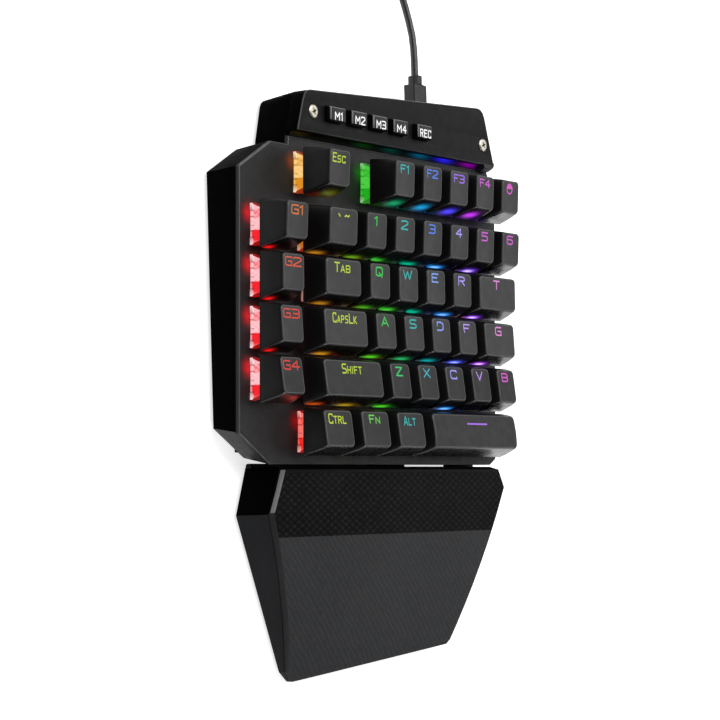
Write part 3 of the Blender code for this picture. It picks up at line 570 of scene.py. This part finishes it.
def build_cap(key):
    """One finer keycap in the deck frame, at its key's place."""
    name, row, width, legend = key.name, key.row, key.width, key.legend
    back, front = (h * mm for h in row_heights[row])
    base_x = (width * pitch - key_gap) / 2
    base_y = (pitch - key_gap) / 2
    top_x = base_x - side_inset
    top_y = top_length / 2
    lean = (back - front) / top_length

    def top(px, py):
        across = min(1, abs(px / top_x)) ** 2
        along = min(1, abs((py - top_shift) / top_y)) ** 2
        level = (back + front) / 2 + lean * (py - top_shift)
        return level + dish * (1 - along) if name == "space" else level - dish * (1 - across)

    many_x = 14 if width < 1.5 else 30
    bm = bmesh.new()
    wall = 1.1 * mm
    roof = min(back, front) - dish - wall

    def ring(hx, hy, radius, z_at, shift=0.0):
        return soft_rectangle(hx, hy, radius, z_at, many_x, 7, 4, shift)

    rings = [
        ring((top_x - wall) * 0.4, (top_y - wall) * 0.4, 0.8 * mm, lambda x, y: roof, top_shift),
        ring(top_x - wall, top_y - wall, 1.2 * mm, lambda x, y: roof, top_shift),
        ring(base_x - wall, base_y - wall, 0.8 * mm, lambda x, y: skirt),
        ring(base_x - 0.12 * mm, base_y - 0.12 * mm, 1.0 * mm, lambda x, y: skirt),
        ring(base_x, base_y, 1.1 * mm, lambda x, y: skirt + 0.15 * mm),
    ]
    numbers = [1, 1, 1, 1]
    steps = 12
    for k in range(1, steps + 1):
        t = (k / steps) ** 1.5 * 0.95
        bulge = 0.15 * mm * math.sin(math.pi * t)
        rings.append(ring(base_x - side_inset * t + bulge, base_y + (top_y - base_y) * t + bulge,
                          (1.1 + 0.5 * t) * mm, lambda x, y, t=t: skirt + (top(x, y) - skirt) * t,
                          top_shift * t))
        numbers.append(1)
    # The rings of the rounded top edge take material 2, the lighter copy painted as a highlight.
    edge = 0.38 * mm
    for a in (25, 50, 75):
        c, s = math.cos(math.radians(a)), math.sin(math.radians(a))
        rings.append(ring(top_x - edge * (1 - c) * 1.1, top_y - edge * (1 - c) * 1.1, 1.6 * mm,
                          lambda x, y, s=s: top(x, y) - edge * 0.8 * (1 - s), top_shift))
        numbers.append(2)
    inner_x, inner_y = top_x - edge * 1.25, top_y - edge * 1.25
    for share in (1.0, 0.86, 0.66, 0.42, 0.18):
        radius = min(1.45 * mm, inner_y * share * 0.7)
        rings.append(ring(inner_x * share, inner_y * share, radius, top, top_shift))
        numbers.append(2 if share == 1.0 else 0)
    loops = join_rings(bm, rings, numbers)
    numbered = {v: k for k, loop in enumerate(loops) for v in loop}
    join_rings(bm, [circle(2.75 * mm, z, 16) for z in (skirt - 0.05 * mm, roof + 0.2 * mm)], 1)
    bmesh.ops.recalc_face_normals(bm, faces=bm.faces)
    bm.normal_update()
    # Faces that look forward take the front copy, darker as painted shade.
    for f in bm.faces:
        if f.material_index == 1 and f.normal.y < -0.6:
            f.material_index = 4
    colours = {}
    centre = Vector((key.x, key.y, 0))
    for v, k in numbered.items():
        if 3 <= k <= 4 + steps:
            colours[v] = light_at(v.co + centre, v.normal, own=key) * 0.14 + front_spot(key, v.co, v.normal)
    colour = ramp(legend_colours, key.hue)
    if name in pale_legends:
        colour = colour * 0.9 + Vector((0.14, 0.16, 0.16))

    def surface(x, y):
        return top(x, y) + 0.05 * mm

    legend_top = top_shift + top_y - 1.5 * mm
    if legend == "*":
        written = half_disc(bm, -0.4 * mm, legend_top - 2.0 * mm, 2.0 * mm, surface, 3)
    else:
        x, drop, height, wide, line = [size * mm for size in legend_layout(name, legend)]
        written = write(bm, legend, x, legend_top - drop, height, wide, line, surface, 3)
    for v in written:
        colours[v] = colour
    bm.verts.index_update()
    listed = [(0, 0, 0)] * len(bm.verts)
    for v, colour in colours.items():
        listed[v.index] = tuple(colour)
    # The front rows' tops take a darker copy of the top plastic, as painted shade.
    top_paint = cap_top_shaded if row in ("lower", "space") else cap_top
    new_object("cap_" + name, bm, [top_paint, cap_side_shaded, cap_edge_highlight, lit_legend, cap_front_shaded],
               deck @ Matrix.Translation(centre), "keycap_" + name, 40, "keycap_" + name, listed)


for key in keys:
    build_cap(key)


# Switch housings, seen as lit strips along the left of the key field
housing_glow_colours = {
    "g": ((1.0, 0.6, 0.64), (0.9, 0.01, 0.02)), "esc": ((1.0, 0.66, 0.24), (0.72, 0.27, 0.01)),
    "ctrl": ((1.0, 0.36, 0.32), (0.85, 0.02, 0.01)), "f1": ((0.14, 0.85, 0.1), (0.01, 0.4, 0.01)),
    "backquote": ((0.7, 0.25, 0.05), (0.5, 0.14, 0.01)),
}


def housing_colour(key, colour, x, y, z, side):
    """Pale where the light leaves the plastic, deeper in patches, with thin mould lines. The left faces of the
    housings in housing_glow_colours get the full glow; their other faces and the remaining housings, behind
    the caps, are painted dimmer as painted shade.
    """
    if side != "left":
        return colour * 0.3
    family = "g" if key.name in ("g1", "g2", "g3", "g4") else key.name
    if family not in housing_glow_colours:
        return (Vector((0.85, 0.78, 0.76)) * 0.5 + colour * 0.5) * 0.4
    pale, deep = [Vector(c) for c in housing_glow_colours[family]]
    along, up = y / mm, z / mm
    ripple = math.sin(along * 3.1 + 2.0 * math.sin(up * 2.3 + key.x / mm + key.y / mm))
    share = 0.14 + 0.1 * ripple
    if along < -2.2 and up > 1.0:
        share = 0.85 if along < -6.2 else 1.0
    elif 2.2 < along < 5.4 and up > 1.2:
        share = 0.55 + 0.25 * ripple
    elif abs(along) > 5.4 and up < 1.3:
        share = 0.0
    if family in ("ctrl", "f1"):
        share = 0.5 + 0.5 * share
    light = pale * (1 - share) + deep * share
    if abs(along) > 5.6 and up < 1.3:
        light = light * 0.6 + Vector((0.4, 0.36, 0.36)) * min(1, sum(pale) / 2)
    if up < 1.6 and any(abs(along - line) < 0.24 for line in (4.9, 2.6, -0.5, -2.6, -4.9)):
        light = light * 0.45
    return light


bm = bmesh.new()
colours = []


def add(points, faces, tint):
    made = [bm.verts.new(p) for p in points]
    for f in faces:
        bm.faces.new([made[i] for i in f])
    colours.extend(tint)


for place, colour, key in lamps:
    x, y = key.x, key.y
    flange, low, high = 7.65 * mm, 7.3 * mm, 4.6 * mm
    z0, z1, z2, waist = 0.05 * mm, 1.0 * mm, 6.6 * mm, 2.6 * mm
    for turn, side in enumerate(("left", "front", "right", "back")):
        c, s = math.cos(turn * math.pi / 2), math.sin(turn * math.pi / 2)

        def at(px, py, pz, c=c, s=s):
            return Vector((px * c - py * s, px * s + py * c, pz))

        near, far = (7.15 * mm, 6.6 * mm) if turn % 2 == 0 else (6.6 * mm, 7.15 * mm)
        levels = [(flange, flange, z0), (flange, flange, z1), (low, low, z1), (near, far, waist),
                  (high, high, z2)]
        rows = 60 if side == "left" and key.name in open_keys else 8
        wide = rows + 1
        for lower, upper, down in zip(levels, levels[1:], (1, 1, 5, 5)):
            ends = [[at(-out, along * sign, z) for sign in (1, -1)] for out, along, z in (lower, upper)]
            points, tint = [], []
            for j in range(down + 1):
                for i in range(wide):
                    below, above = [a + (b - a) * (i / rows) for a, b in ends]
                    p = below + (above - below) * (j / down)
                    points.append((x + p.x, y + p.y, p.z))
                    tint.append(housing_colour(key, colour, p.x, p.y, p.z, side))
            starts = [j * wide + i for j in range(down) for i in range(rows)]
            add(points, [(q, q + 1, q + 1 + wide, q + wide) for q in starts], tint)
        for py in (6.4, -6.4):
            pad = [at(-flange - out * mm, (py + along) * mm, z0)
                   for out, along in ((0.3, 1.3), (0.3, -1.3), (0, -1.3), (0, 1.3))]
            tint = [housing_colour(key, colour, p[0], p[1], 0, side) for p in pad] * 2
            points = [(x + p[0], y + p[1], z) for z in (z0, z1) for p in pad]
            add(points, [(0, 1, 5, 4), (1, 2, 6, 5), (3, 0, 4, 7), (4, 5, 6, 7)], tint)
    mouth = [(x + sx * half, y + sy * half, z)
             for half, z in ((high, z2), (3.1 * mm, z2), (3.1 * mm, z2 - 5.8 * mm)) for sx, sy in corners]
    steps = [(k + i, k + (i + 1) % 4, k + 4 + (i + 1) % 4, k + 4 + i) for k in (0, 4) for i in range(4)]
    add(mouth, steps + [(8, 9, 10, 11)], [colour * 0.25] * 12)
new_object("switch_housings", bm, [housing_clear], deck, "base", 30, "switch_board", colours)


# Deck plate, cut finely enough to carry the pools of light
def near_hole(point):
    return any(abs(point.x - k.x) < 7.2 * mm and abs(point.y - k.y) < 7.2 * mm for k in keys)


def deck_light(point):
    """Light on the plate: a faint pool by each lamp, and a spill past the housings at the rows' left ends."""
    total = light_at(Vector(point), Vector((0, 0, 1)), 2.6 * mm) * 0.25
    spill = {"esc": (0.22, 0.035, 0.0), "f1": (0.0, 0.12, 0.0), "ctrl": (0.28, 0.0, 0.002)}
    for key in keys:
        if key.name in open_keys:
            dx = (point.x - key.x + 8.6 * mm) / (2.8 * mm)
            dy = (point.y - key.y - 4.0 * mm) / (2.5 * mm)
            total += Vector(spill.get(key.name, (0.75, 0.0, 0.006))) * math.exp(-(dx * dx + dy * dy))
    return tuple(total)


bm = cad_copy("top_plate", True)
outer = [e for e in bm.edges if len(e.link_faces) == 2 and e.calc_face_angle(0) > 1.0
         and all(abs(v.co.z) < 1e-5 for v in e.verts) and not all(near_hole(v.co) for v in e.verts)]
rim_faces = set(round_edges(bm, outer, 0.4 * mm, 2)["faces"])
# The rounded rim takes the lighter copy painted as a highlight.
for f in bm.faces:
    f.material_index = 1 if f in rim_faces else 0
for axis, place, end in ((0, -4 * mm, 168 * mm), (1, -88 * mm, 36 * mm)):
    while place < end:
        slice_at(bm, axis, place)
        place += 2 * mm
tint = [deck_light(v.co) if v.co.z > -0.5 * mm else (0, 0, 0) for v in bm.verts]
new_object("deck_plate", bm, [deck_top, deck_rim], deck, "base", 30, "top_plate", tint)


# Floor, backdrop and lights
size = 6.0
mesh = bpy.data.meshes.new("floor")
mesh.from_pydata([(size * x, size * y, 0) for x, y in corners], [], [(0, 1, 2, 3)])
floor = bpy.data.objects.new("floor", mesh)
bpy.context.scene.collection.objects.link(floor)
s = Shader("pale_floor")
s.set(s.plain, "Base_Color", s.mix(s.noise(0.4, 2), (0.8, 0.8, 0.8), (0.82, 0.82, 0.82)))
s.set(s.plain, "Roughness", 0.9)
s.set(s.plain, "Specular_IOR_Level", 0.1)
s.set(s.plain, "Emission_Color", (1, 1, 1, 1))
path = s.node("ShaderNodeLightPath")
seen = s.math("ADD", path.outputs["Is Camera Ray"], path.outputs["Is Glossy Ray"])
seen = s.math("ADD", seen, path.outputs["Is Transmission Ray"], True)
reach = s.node("ShaderNodeVectorMath", _0=s.place)
reach.operation = "LENGTH"
far = s.spread(reach.outputs["Value"], 0.3, 0.9, 0.72, 1.0)
s.set(s.plain, "Emission_Strength", s.math("MULTIPLY", seen, far))
mesh.materials.append(s.material)

world = bpy.data.worlds.new("studio")
bpy.context.scene.world = world
world.use_nodes = True
tree = world.node_tree
paths = tree.nodes.new("ShaderNodeLightPath")
blend_in = tree.nodes.new("ShaderNodeMix")
blend_in.data_type = "RGBA"
blend_in.inputs[6].default_value = (0.14, 0.14, 0.14, 1)
blend_in.inputs[7].default_value = (1, 1, 1, 1)
tree.links.new(paths.outputs["Is Camera Ray"], blend_in.inputs[0])
tree.links.new(blend_in.outputs[2], tree.nodes["Background"].inputs["Color"])


def area_light(name, direction, distance, size, power):
    data = bpy.data.lights.new(name, "AREA")
    data.shape = "RECTANGLE"
    data.size, data.size_y = size
    data.energy = power
    lamp = bpy.data.objects.new(name, data)
    bpy.context.scene.collection.objects.link(lamp)
    way = Vector(direction).normalized()
    lamp.location = way * distance
    lamp.rotation_mode = "QUATERNION"
    lamp.rotation_quaternion = way.to_track_quat("Z", "Y")


area_light("side_softbox", (0.8, 0.1, 0.6), 1.3, (1.3, 0.8), 5)
area_light("top_softbox", (0.1, 0.55, 1.0), 1.5, (1.2, 1.2), 15)
area_light("front_fill", (0.0, -1.0, 0.5), 1.6, (0.9, 0.5), 8)
area_light("rim_strip", (-0.5, 0.4, 0.78), 1.2, (0.5, 0.22), 1.5)


# Cable, its coil, tie and plug
def smooth_route(points, step):
    ends = [Vector(p) for p in points]
    ends = [ends[0] * 2 - ends[1]] + ends + [ends[-1] * 2 - ends[-2]]
    route = []
    for a, b, c, d in zip(ends, ends[1:], ends[2:], ends[3:]):
        parts = max(1, round((c - b).length / step))
        for k in range(parts):
            t = k / parts
            bend = (a * 2 - b * 5 + c * 4 - d) * t ** 2 + (b * 3 - a - c * 3 + d) * t ** 3
            route.append((b * 2 + (c - a) * t + bend) / 2)
    return route + [ends[-2]]


def ease(share):
    share = min(1, max(0, share))
    return share * share * (3 - 2 * share)


cable_radius = 1.5 * mm
lie = 1.55 * mm
cable_exit = Vector((38.0 * mm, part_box("usb_cable")[0].y, 11.0 * mm))
coil_start = Vector((38.0 * mm, 188.3 * mm, lie))
coil_pitch = 3.45 * mm
coil_radius = 18 * mm
layers, turns_per_layer, loop_points = 4, 3, 24


def coil_place(turn):
    layer = min(int(turn / turns_per_layer), layers - 1)
    within = turn - layer * turns_per_layer
    sign = 1 if layer % 2 == 0 else -1
    radius = coil_radius + sign * (coil_pitch * turns_per_layer / 2 - coil_pitch * within)
    height = lie
    for reverse in range(1, layers):
        height += coil_pitch * min(1, max(0, (turn - reverse * turns_per_layer + 0.25) / 0.5))
    return radius, height


feed = [cable_exit] + [Vector((38, y, z)) * mm for y, z in (
    (128, 11), (138, 10.3), (150, 7.4), (162, 3.8), (172, 1.9), (180, 1.55))]
points = smooth_route(feed + [Vector((38 * mm, 188 * mm, lie))], 6 * mm) + [coil_start]
turns = layers * turns_per_layer
middle = Vector((coil_start.x - coil_place(0)[0], coil_start.y + 3 * mm, 0))
for i in range(turns * loop_points + 1):
    radius, height = coil_place(i / loop_points)
    a = i / loop_points * math.tau
    points.append(middle + Vector((radius * math.cos(a), radius * math.sin(a), height)))
last_radius, last_height = coil_place(turns)
for k in range(1, 9):
    share = k / 8
    a = share * 0.25 * math.tau
    radius = last_radius + (32 * mm - last_radius) * ease(share / 0.7)
    height = last_height + (4 * mm - last_height) * ease((share - 0.3) / 0.7)
    points.append(middle + Vector((radius * math.cos(a), radius * math.sin(a), height)))
points.append(points[-1] - Vector((3 * mm, 0, 0)))
curve = bpy.data.curves.new("usb_lead", "CURVE")
curve.dimensions = "3D"
curve.twist_mode = "Z_UP"
curve.bevel_depth = cable_radius
curve.bevel_resolution = 4
curve.use_fill_caps = True
spline = curve.splines.new("POLY")
spline.points.add(len(points) - 1)
for target, point in zip(spline.points, points):
    target.co = (*point, 1)
spline.use_smooth = True
curve.materials.append(cable_black)
lead = bpy.data.objects.new("usb_lead", curve)
bpy.context.scene.collection.objects.link(lead)
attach(lead, "base")
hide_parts("usb_cable", "usb_cable_coil")
length = sum((b - a).length for a, b in zip(points, points[1:]))
start = points[-1] - Vector((0.3 * mm, 0, 0))
turn = Matrix.Translation(start) @ Matrix.Rotation(math.pi / 2, 4, "Z")


def lying(half_x, half_z, corner, y):
    outline = soft_rectangle(half_x * mm, half_z * mm, corner * mm, lambda a, b: 0, 2, 2, 4)
    return [(x, y * mm, z) for x, z, _ in outline]


bm = bmesh.new()
sizes = [(1.6, 1.6, 1.5, 0), (2.0, 2.0, 1.7, 0.3), (2.6, 2.6, 1.6, 3.2), (2.1, 2.1, 1.6, 3.5),
         (2.1, 2.1, 1.6, 4.1), (2.6, 2.6, 1.6, 4.4), (2.6, 2.6, 1.4, 6.6), (5.6, 3.1, 1.2, 7.0),
         (6.4, 3.5, 1.3, 8.2), (6.6, 3.6, 1.3, 10.5)]
for k in range(5):
    y = 12.5 + 2.2 * k
    sizes += [(6.6, 3.6, 1.3, y), (6.25, 3.25, 1.2, y + 0.35), (6.25, 3.25, 1.2, y + 0.9),
              (6.6, 3.6, 1.3, y + 1.25)]
sizes += [(6.6, 3.6, 1.3, 32.6), (6.3, 3.3, 1.0, 33.8), (5.9, 2.6, 0.6, 34.0)]
join_rings(bm, [lying(*size) for size in sizes])
grip = new_object("plug_grip", bm, [grip_black], turn, "base", 35, "usb_plug")
bm = bmesh.new()
shell = [(6.0, 2.25, 0.5, 33.9), (6.0, 2.25, 0.5, 45.7), (5.9, 2.15, 0.5, 46.0), (5.6, 1.9, 0.4, 46.0),
         (5.6, 1.9, 0.4, 37.0)]
join_rings(bm, [lying(*size) for size in shell])
box(bm, (-5.5 * mm, 37.2 * mm, -1.8 * mm), (5.5 * mm, 45.4 * mm, 0.0))
for x in (-2.6 * mm, 2.6 * mm):
    box(bm, (x - 0.9 * mm, 39.5 * mm, 2.2 * mm), (x + 0.9 * mm, 41.6 * mm, 2.3 * mm), 1)
steel_shell = new_object("plug_shell", bm, [plug_steel, case_black], turn, "base", 30, "usb_plug")
bm = bmesh.new()
inside = [(12.0, 0.1), (12.0, 12.6), (13.1, 13.7), (22.6, 13.7), (23.7, 12.6), (23.7, 0.1)]
outside = [(11.4, 0.1), (11.4, 12.85), (12.85, 14.3), (22.85, 14.3), (24.3, 12.85), (24.3, 0.1)]
loop = inside + outside[::-1]
near, far = [[bm.verts.new((r * mm, y, z * mm)) for r, z in loop] for y in (-3.5 * mm, 3.5 * mm)]
count = len(loop)
for i in range(count):
    j = (i + 1) % count
    bm.faces.new((near[i], near[j], far[j], far[i]))
for i in range(len(inside) - 1):
    k = count - 1 - i
    for side in (near, far):
        bm.faces.new((side[i], side[i + 1], side[k - 1], side[k]))
way = Matrix.Translation(middle) @ Matrix.Rotation(math.radians(215), 4, "Z")
bmesh.ops.recalc_face_normals(bm, faces=bm.faces)
tie = new_object("coil_tie", bm, [tie_black], way, "base", 30)


# Pieces that keep their solid's shape, with softened edges
def dressed(node, name, width, materials, body="base", limit=28, chooser=None, round_off=None,
            cuts=(), lean=None):
    """A node's own solid with its sharp edges rounded and a material number chosen for each face."""
    bm = cad_copy(node)
    if lean:
        splay(bm, node, *lean)
    if round_off:
        chosen, radius, parts = round_off
        round_edges(bm, [e for e in bm.edges if chosen(e)], radius, parts)
    sharp = [e for e in bm.edges if len(e.link_faces) == 2 and e.calc_face_angle(0) > math.radians(limit)]
    round_edges(bm, sharp, width, 2)
    for y in cuts:
        slice_at(bm, 1, y)
    bm.normal_update()
    if chooser:
        for f in bm.faces:
            f.material_index = chooser(f)
    new_object(name, bm, materials, body=body, node=node)


def up_or_side(f):
    """Number 0 on what faces up, 1 on what faces sideways, 2 on the narrow edges between."""
    if f.normal.z > 0.9:
        return 0
    if abs(f.normal.z) > 0.25 and f.calc_area() < 60e-6 and f.normal.z > 0:
        return 2
    return 1


def splay(bm, node, left, ends):
    """Lean the walls towards the foot: outward on the left, inward at the front and rear."""
    low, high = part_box(node)
    middle = (low.y + high.y) / 2
    for v in bm.verts:
        t = (high.z - v.co.z) / (high.z - low.z)
        v.co.x -= left * t * (high.x - v.co.x) / (high.x - low.x)
        v.co.y -= ends * t * (v.co.y - middle) / (high.y - middle)


def case_side(f):
    """Left walls take a darker copy of the case plastic as painted shade, the front left corner a lighter copy
    as painted light, and the rear left shoulder a duller gloss.
    """
    if f.normal.x > -0.3:
        return 0
    if f.normal.y < -0.3:
        return 2
    return 3 if f.normal.y > 0.3 and f.calc_center_median().y < 84 * mm else 1


def module_side(f):
    # The module's left walls take the case's darker copy as painted shade, and its narrow edges the lighter
    # rim copy as a painted highlight.
    number = up_or_side(f)
    return 3 if number == 1 and f.normal.x < -0.3 else number


def button_face(f):
    """A button's left and rear edges take a lighter copy as a painted highlight; its sides and its other edges
    a darker copy as painted shade.
    """
    number = up_or_side(f)
    return 1 if number == 2 and (f.normal.x > 0.2 or f.normal.y < -0.2) else number


def rest_corner(e):
    """The upright edges at the wrist rest's two front corners."""
    low, high = sorted((v.co for v in e.verts), key=lambda p: p.z)
    return max(low.y, high.y) < -112 * mm and high.z - low.z > 0.8 * (high - low).length


dressed("bottom_case", "case_tray", 0.5 * mm, [case_black, case_wall, case_corner, case_shoulder],
        chooser=case_side, lean=(1.0 * mm, 1.2 * mm))
dressed("module_cover", "macro_module", 0.45 * mm, [module_top, case_black, module_rim, case_wall],
        chooser=module_side)
dressed("strain_relief", "cable_relief", 0.3 * mm, [relief_black])
# The tray's rear-left walls take the darker copy, as painted shade.
dressed("wrist_rest", "rest_tray", 0.6 * mm, [rest_shell, rest_dark], "wrist_rest",
        chooser=lambda f: 1 if f.normal.x < -0.3 and f.normal.y > 0 else 0,
        round_off=(rest_corner, 2.6 * mm, 4))
for node in ("case_foot_front", "case_foot_rear", "wrist_rest_foot"):
    body = "wrist_rest" if node == "wrist_rest_foot" else "base"
    dressed(node, "rubber_" + node, 0.35 * mm, [foot_rubber], body)
buttons = ("m1", "m2", "m3", "m4", "rec")
for button in buttons:
    dressed("button_" + button, "press_button_" + button, 0.3 * mm, [button_black, button_side, button_rim],
            "button_" + button, chooser=button_face)


# Texture of the wrist rest: small raised dots behind the line, a diagonal weave in front of it
def rest_material(name, dark, light, wide, deep, slant, dot, roughness, specular, depth):
    """Marks in a staggered grid, wide by deep, slanted to the right."""
    s = Shader(name)
    split = s.node("ShaderNodeSeparateXYZ", _0=s.place)
    wander = s.math("MULTIPLY", s.noise(5 * mm, 2), 0.5)
    y = split.outputs["Y"]
    x = s.math("ADD", split.outputs["X"], s.math("MULTIPLY", y, slant))

    def mark(shift):
        squares = []
        for place, size in ((x, wide), (y, deep)):
            u = s.math("ADD", s.math("ADD", s.math("DIVIDE", place, size), 100.0 + shift), wander)
            u = s.math("MULTIPLY", s.math("SUBTRACT", s.math("FRACT", u), 0.5), 2.0)
            squares.append(s.math("MULTIPLY", u, u))
        return s.math("SQRT", s.math("ADD", *squares))

    raised = s.spread(s.math("MINIMUM", mark(0.0), mark(0.5)), dot, dot * 0.3)
    fine = s.noise(0.5 * mm, 3)
    uneven = s.spread(s.noise(2.5 * mm, 2), 0.35, 0.65, 0.45, 1.0)
    clouds = s.spread(s.math("ADD", fine, s.noise(25 * mm, 2)), 0.7, 1.3, -0.1, 0.3)
    share = s.math("ADD", s.math("MULTIPLY", raised, uneven), clouds, True)
    s.bump(raised, depth, 0.8)
    return s.finish(share, dark, light, fine, roughness - 0.05, roughness + 0.08, specular)


band_end, dots_end = rest_rear - 2.3 * mm, rest_rear - 26.4 * mm
strip_start, strip_end = rest_rear - 1.3 * mm, rest_rear - 17.1 * mm


def pad_side(f):
    """On top a smooth band, the dots and the weave; on the edge a painted highlight strip at the left rear,
    and painted shade on the side faces behind it.
    """
    middle = f.calc_center_median()
    if f.normal.z > 0.93:
        return 0 if middle.y > band_end else 1 if middle.y > dots_end else 2
    if f.normal.z > 0.3 and f.normal.x < -0.3 and strip_end < middle.y < strip_start:
        return 5
    if middle.y > strip_end:
        return 3
    return 4 if f.normal.z > 0.3 else 6


pad_materials = [
    rest_band,
    rest_material("rest_dots", grey(0.0022, 0.0023), grey(0.0145, 0.0148), 4.6 * mm, 2.74 * mm, 0.0, 0.7,
                  0.6, 0.04, 0.16 * mm),
    rest_material("rest_weave", (0.025, 0.0255, 0.027), (0.04, 0.0405, 0.0425), 3.3 * mm, 2.0 * mm, -0.6, 0.9,
                  0.55, 0.08, 0.1 * mm),
    rest_dark, rest_chamfer, rest_strip, rest_shell]
dressed("wrist_rest_pad", "rest_pad", 0.3 * mm, pad_materials, "wrist_rest", 24, pad_side,
        (rest_corner, 2 * mm, 3), (band_end, dots_end, strip_start, strip_end))


# A low rib along the foot of the wrist rest's rear wall, which closes the view under the case
bm = bmesh.new()
section = [(-0.3, 2.2), (0.7, 2.2), (1.2, 2.5), (1.5, 3.0), (1.5, 4.2), (1.1, 4.6), (-0.3, 4.6)]
join_rings(bm, [[(x * mm, rest_rear + y * mm, z * mm) for y, z in section]
                for x in (-69.1, -68.8, 30.5, 30.8)])
bmesh.ops.recalc_face_normals(bm, faces=bm.faces)
new_object("rest_rib", bm, [case_black], body="wrist_rest", smooth=30)


def top_centre(node):
    """The middle of a node's top in the deck frame."""
    low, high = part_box(node)
    return deck_inverse @ Vector(((low.x + high.x) / 2, (low.y + high.y) / 2, high.z))


# Screws of the module
def build_screw(node, name):
    centre = top_centre(node)
    bm = bmesh.new()
    rings = [(1.4, 12), (1.4, 1.0), (2.75, 1.0), (2.8, 0.5), (2.55, 0.18), (1.9, 0.02), (0.6, 0)]
    join_rings(bm, [[(x + centre.x, y + centre.y, z) for x, y, z in circle(radius * mm, centre.z - drop * mm)]
                    for radius, drop in rings])
    made = new_object(name, bm, [steel], deck, "base", 40)
    cross = bmesh.new()
    for a in (0.4, 0.4 + math.pi / 2):
        way = Matrix.Translation((centre.x, centre.y, 0)) @ Matrix.Rotation(a, 4, "Z")
        arm = join_rings(cross, [[(1.5 * mm * sx * k, 0.42 * mm * sy * k, z) for sx, sy in corners]
                                 for k, z in ((0.6, centre.z - 0.8 * mm), (1.0, centre.z + 0.3 * mm))])
        bmesh.ops.transform(cross, matrix=deck @ way, verts=arm[0] + arm[1])
    cutter_mesh = bpy.data.meshes.new("cutter")
    cross.to_mesh(cutter_mesh)
    cross.free()
    cutter = bpy.data.objects.new("cutter", cutter_mesh)
    bpy.context.scene.collection.objects.link(cutter)
    step = made.modifiers.new("cross", "BOOLEAN")
    step.operation = "DIFFERENCE"
    step.solver = "EXACT"
    step.use_self = True
    step.object = cutter
    cut = bpy.data.meshes.new_from_object(made.evaluated_get(bpy.context.evaluated_depsgraph_get()))
    made.modifiers.clear()
    made.data = cut
    bpy.data.objects.remove(cutter)
    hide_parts(node)


build_screw("module_screw_left", "screw_left")
build_screw("module_screw_right", "screw_right")


# Printed words on the macro buttons
for name in buttons:
    centre = top_centre("button_" + name)
    bm = bmesh.new()
    wide = 1.75 * mm if name == "rec" else 2.3 * mm
    write(bm, name.upper(), centre.x, centre.y + 0.6 * mm, 2.8 * mm, wide, 0.5 * mm, lambda x, y: 7.34 * mm, 0)
    new_object("print_" + name, bm, [printed_white], deck, "button_" + name, 0)


# Painted light in the groove between deck and module: a glowing sheet on the sill, and a little way up the
# module's front wall
bm = bmesh.new()
colours = []
x0, x1 = 26.6 * mm, 157.4 * mm
steps = 130
pools = [(31, (0.022, 0.016, 0.0)), (52, (0.002, 0.003, 0.0)), (73, (0.0, 0.04, 0.002)),
         (91.5, (0.0, 0.05, 0.04)), (112, (0.0, 0.13, 0.25)), (129.5, (0.03, 0.02, 1.3)),
         (148, (0.35, 0.0, 0.5))]
profile = [(35.6, -0.44, 0.1), (36.3, -0.44, 0.35), (37.29, -0.44, 0.6), (37.29, 0.3, 0.8),
           (37.29, 1.0, 0.3), (37.29, 2.2, 0.0)]
for i in range(steps + 1):
    x = x0 + (x1 - x0) * i / steps
    total = Vector((0, 0, 0))
    for place, colour in pools:
        total += Vector(colour) * math.exp(-((x / mm - place) / 5.5) ** 2)
    for y, z, share in profile:
        bm.verts.new((x, y * mm, z * mm))
        colours.append(total * share)
bm.verts.ensure_lookup_table()
count = len(profile)
for i in range(steps):
    for j in range(count - 1):
        a = i * count + j
        bm.faces.new([bm.verts[k] for k in (a, a + count, a + count + 1, a + 1)])
new_object("groove_light", bm, [light_guide], deck, "base", 0, glow=colours)


# Rounded nose at the module's right end, which closes the groove
bm = bmesh.new()
nose_end = (deck_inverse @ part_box("module_cover")[1]).x + 0.02 * mm
foot = [(-8.2, 38.6), (-7.2, 34.7), (-3.2, 34.3), (-1.6, 34.7), (-0.6, 35.4), (-0.1, 36.5), (0.0, 37.6),
        (0.0, 38.6)]
join_rings(bm, [[(nose_end + x * mm, (y + 1.6 * t ** 3 * (38.6 - y) / 4.3) * mm, (4.6 * t - 0.3) * mm)
                 for x, y in foot] for t in [k / 8 for k in range(9)]])
bmesh.ops.recalc_face_normals(bm, faces=bm.faces)
new_object("module_nose", bm, [nose_black], deck, "base", 40)

# Boards inside
nodes["macro_board"].data.materials.clear()
nodes["macro_board"].data.materials.append(board_green)

bpy.context.view_layer.update()
